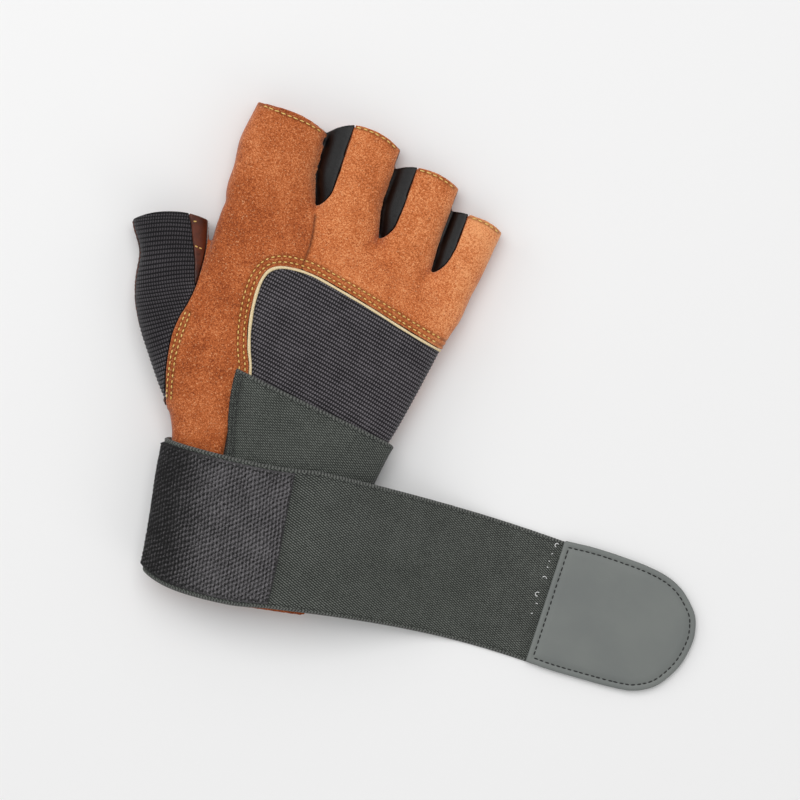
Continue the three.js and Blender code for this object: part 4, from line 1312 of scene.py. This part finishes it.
cord_line = border(INSERT_BORDER, 0.75, 0.5)
places, normals = on_skin(cord_line[cord_line[:, 1] > -60])
thicker = 0.55 + 0.16 * smoothstep(-places[:, 0], 20, 32) + 0.05 * np.sin(path_length(places) / 1.9)
rings = cord_rings(places - 0.62 * normals, normals, thicker)
piping = loft("cream_piping", rings)
piping_yarn = thread_finish("piping_yarn", colour(206, 176, 122), colour(247, 233, 196), 0.8)
finish_piece(piping, piping_yarn, ["insert_piping"])

# %% [markdown]
# ## Thread
# Every visible stitch is a short piece of thread that dives into the hide at both ends, so a grain with the
# thread's thickness, half sunk, is enough. A row is laid along a path with the pitch measured on the
# photograph, and each grain is turned a little by chance, as a machine's stitches are.

# %% Rows of stitches
SEWING_YELLOW = thread_finish("yellow_thread", colour(206, 150, 56), colour(250, 222, 140))
SEWING_DARK = thread_finish("dark_thread", colour(12, 12, 12), colour(40, 41, 40))
SEWING_WHITE = thread_finish("white_thread", colour(214, 214, 214), colour(246, 246, 246))


def stitch(bm, place, direction, normal, length, thickness):
    side = direction.cross(normal).normalized()
    rise = side.cross(direction).normalized()
    columns = (side * thickness / 2, rise * thickness / 2, direction * length / 2, place)
    matrix = Matrix([[column[k] * MM for column in columns] for k in range(3)] + [[0, 0, 0, 1]])
    bmesh.ops.create_uvsphere(bm, u_segments=8, v_segments=6, radius=1, matrix=matrix)


def stitch_row(bm, places, normals, pitch, length, thickness, lift=0.0, zigzag=0.0):
    """Stitches along a path of places and normals in millimetres."""
    way = path_length(places)
    for k, at in enumerate(np.arange(pitch / 2, way[-1], pitch)):
        at += chance.normal(0, 0.04 * pitch)
        here, ahead = resample(places, [at, at + 0.3])
        index = min(int(np.searchsorted(way, at)), len(normals) - 1)
        rise = Vector(normals[index]).normalized()
        direction = (Vector(ahead) - Vector(here)).normalized()
        if zigzag:
            direction.rotate(Matrix.Rotation(zigzag if k % 2 else -zigzag, 3, rise))
        direction.rotate(Matrix.Rotation(chance.normal(0, 0.05), 3, rise))
        stitch(bm, Vector(here) + rise * lift, direction, rise, length * chance.uniform(0.9, 1.1), thickness)


bm = bmesh.new()
for key in ("insert_inner", "insert_outer", "panel_edge", "panel_inner"):
    line = stitch_lines[key]
    line = line[(line[:, 1] > (-30 if "insert" in key else -50)) & (line[:, 0] < 44)]
    stitch_row(bm, *on_skin(line), pitch=2.45, length=1.5, thickness=0.62, lift=-0.1)
for name in FINGER_NAMES:
    fine = stitch_lines[name + "_hem"]
    reveal = 0 if name == "index" else STRIP_REVEAL
    left, right = fine[0, 0], fine[-1, 0]
    fine = resample(fine, np.linspace(0, path_length(fine)[-1], 90))
    fine = fine[(fine[:, 0] > left + reveal * (right - left) + 1.6) & (fine[:, 0] < right - 0.8)]
    stitch_row(bm, *on_skin(fine), pitch=2.8, length=2.1, thickness=0.55, lift=0.0)
for ends in (((-69.8, 30.8), (-67.2, 31.8)), ((-65.8, 21.6), (-61.0, 21.5))):
    line = resample(np.array(ends), np.arange(0, 5, 0.5))
    stitch_row(bm, *on_skin(line), pitch=2.3, length=1.6, thickness=0.6)
finish_piece(new_object("yellow_stitches", bm), SEWING_YELLOW)

# %% [markdown]
# ## Dark thread
# Black thread sews the wrap's hem, the loop patch and the tab. On the strap a row follows one column of its
# own points, so it can't float or sink. On the patch it is laid by the same turns that laid the patch.

# %% Dark thread on the strap and the tab
ROW_START = -0.5
PATCH_SEAM = 3.2
TAB_TOP = WRAP_WALL + 0.1 + TAB["wall"]


def along_strap(share, first, last):
    """Places and normals on the strap's upper side, at a share across, between two ways along it."""
    column = int(np.argmin(np.abs(strap_cloth[0, :TOP_POINTS, 1] - share * WRAP_WIDTH)))
    way = strap_cloth[:, 0, 0]
    keep = (way >= first) & (way <= last)
    here, beside = strap_points[:, column], strap_points[:, column + 1]
    normal = np.cross(np.gradient(here, axis=0), beside - here)
    normal /= np.linalg.norm(normal, axis=1, keepdims=True)
    return here[keep], -normal[keep]


def patch_line(across, back):
    """Places on the patch's upper side: a row along the strap, or with across 0 one beside its end."""
    count = 120
    share = np.full(count, across / WRAP_WIDTH) if across else np.linspace(0.05, 0.95, count)
    end = PATCH["distal_end"] + (PATCH["proximal_end"] - PATCH["distal_end"]) * share
    first = ROW_START if across else end + back / LAP_LENGTH
    turn = first + (end + 1.0 / LAP_LENGTH - first) * (np.linspace(0, 1, count) if across else 0)
    edge, spread = wrap_at(turn)
    y = edge - share * spread
    seat = layer_at(turn) + WRAP_WALL + PATCH["wall"] - 0.05
    places = wrist.place(turn, y, seat)
    rise = wrist.place(turn, y, seat + 1.0) - places
    return places, rise / np.linalg.norm(rise, axis=1, keepdims=True)


bm = bmesh.new()
for edge_share in (1.95 / WRAP_WIDTH, 1 - 1.95 / WRAP_WIDTH):
    for first, last in ((2, 90), (170, strap_length - 4)):
        stitch_row(bm, *along_strap(edge_share, first, last), pitch=1.35, length=0.8, thickness=0.42)
for way in (1.3, 2.7, 4.1):
    station = int(np.argmin(np.abs(strap_cloth[:, 0, 0] - way)))
    row = resample(strap_points[station, :TOP_POINTS], np.arange(1, 56, 0.4))
    rise = np.tile((0.0, 0.0, 1.0), (len(row), 1))
    stitch_row(bm, row[2:], rise[2:], pitch=1.25, length=1.3, thickness=0.5, zigzag=0.6)
for across, back in ((PATCH_SEAM, 0), (0, 1.2), (WRAP_WIDTH - PATCH_SEAM, 0)):
    stitch_row(bm, *patch_line(across, back), pitch=1.85, length=1.2, thickness=0.6, lift=0.3)
outline = tab_outline(STITCH_INSET, STITCH_INSET)
outline = np.vstack([outline, outline[:1]])
ring = resample(on_tab(outline), np.arange(0, path_length(outline)[-1], 0.5))
ring = np.column_stack([ring, np.full(len(ring), TAB_TOP - 0.22)])
stitch_row(bm, ring, np.tile((0, 0, 1.0), (len(ring), 1)), pitch=2.5, length=1.9, thickness=0.6)
finish_piece(new_object("dark_stitches", bm), SEWING_DARK)

# %% [markdown]
# ## Loose ends
# Where the tab is sewn on, a few ends of white thread stick out and curl. Each is a thin cord along a short
# arc, laid flat on the weave, and the table gives its place, its first angle, its sweep and its size.

# %% Loose white thread ends beside the tab
CURLS = table(
    "x y first sweep size",
    (121.9, -41.4, 40, 230, 0.8), (121.7, -45.7, 100, 90, 0.5), (121.5, -49.4, 80, 60, 0.6),
    (121.4, -51.9, 20, 90, 0.5), (122.0, -56.4, 10, 160, 0.9), (121.6, -63.6, 60, 240, 0.85),
    (122.8, -67.8, 30, 120, 0.5), (122.6, -72.5, 80, 80, 0.6),
)
bm = bmesh.new()
for x, y, first, sweep, size in zip(*CURLS.values()):
    angle = np.radians(first + np.linspace(0, sweep, 14))
    arc = x + size * np.cos(angle), y + size * np.sin(angle)
    places = np.column_stack([*arc, np.full(14, WRAP_WALL + 0.25)])
    part = loft("curl", cord_rings(places, np.tile((0, 0, 1.0), (14, 1)), 0.17, 6))
    bm.from_mesh(part.data)
    bpy.data.objects.remove(part)
finish_piece(new_object("loose_threads", bm), SEWING_WHITE)

# %% [markdown]
# ## Clearing the table
# The forms and cutters were tools, so they are taken away.

# %% Last things
for obj in list(bpy.data.objects):
    if obj.name.startswith("cutter") or obj.name in ("outer_form", "hollow_form", "strip_form", "shell"):
        bpy.data.objects.remove(obj)
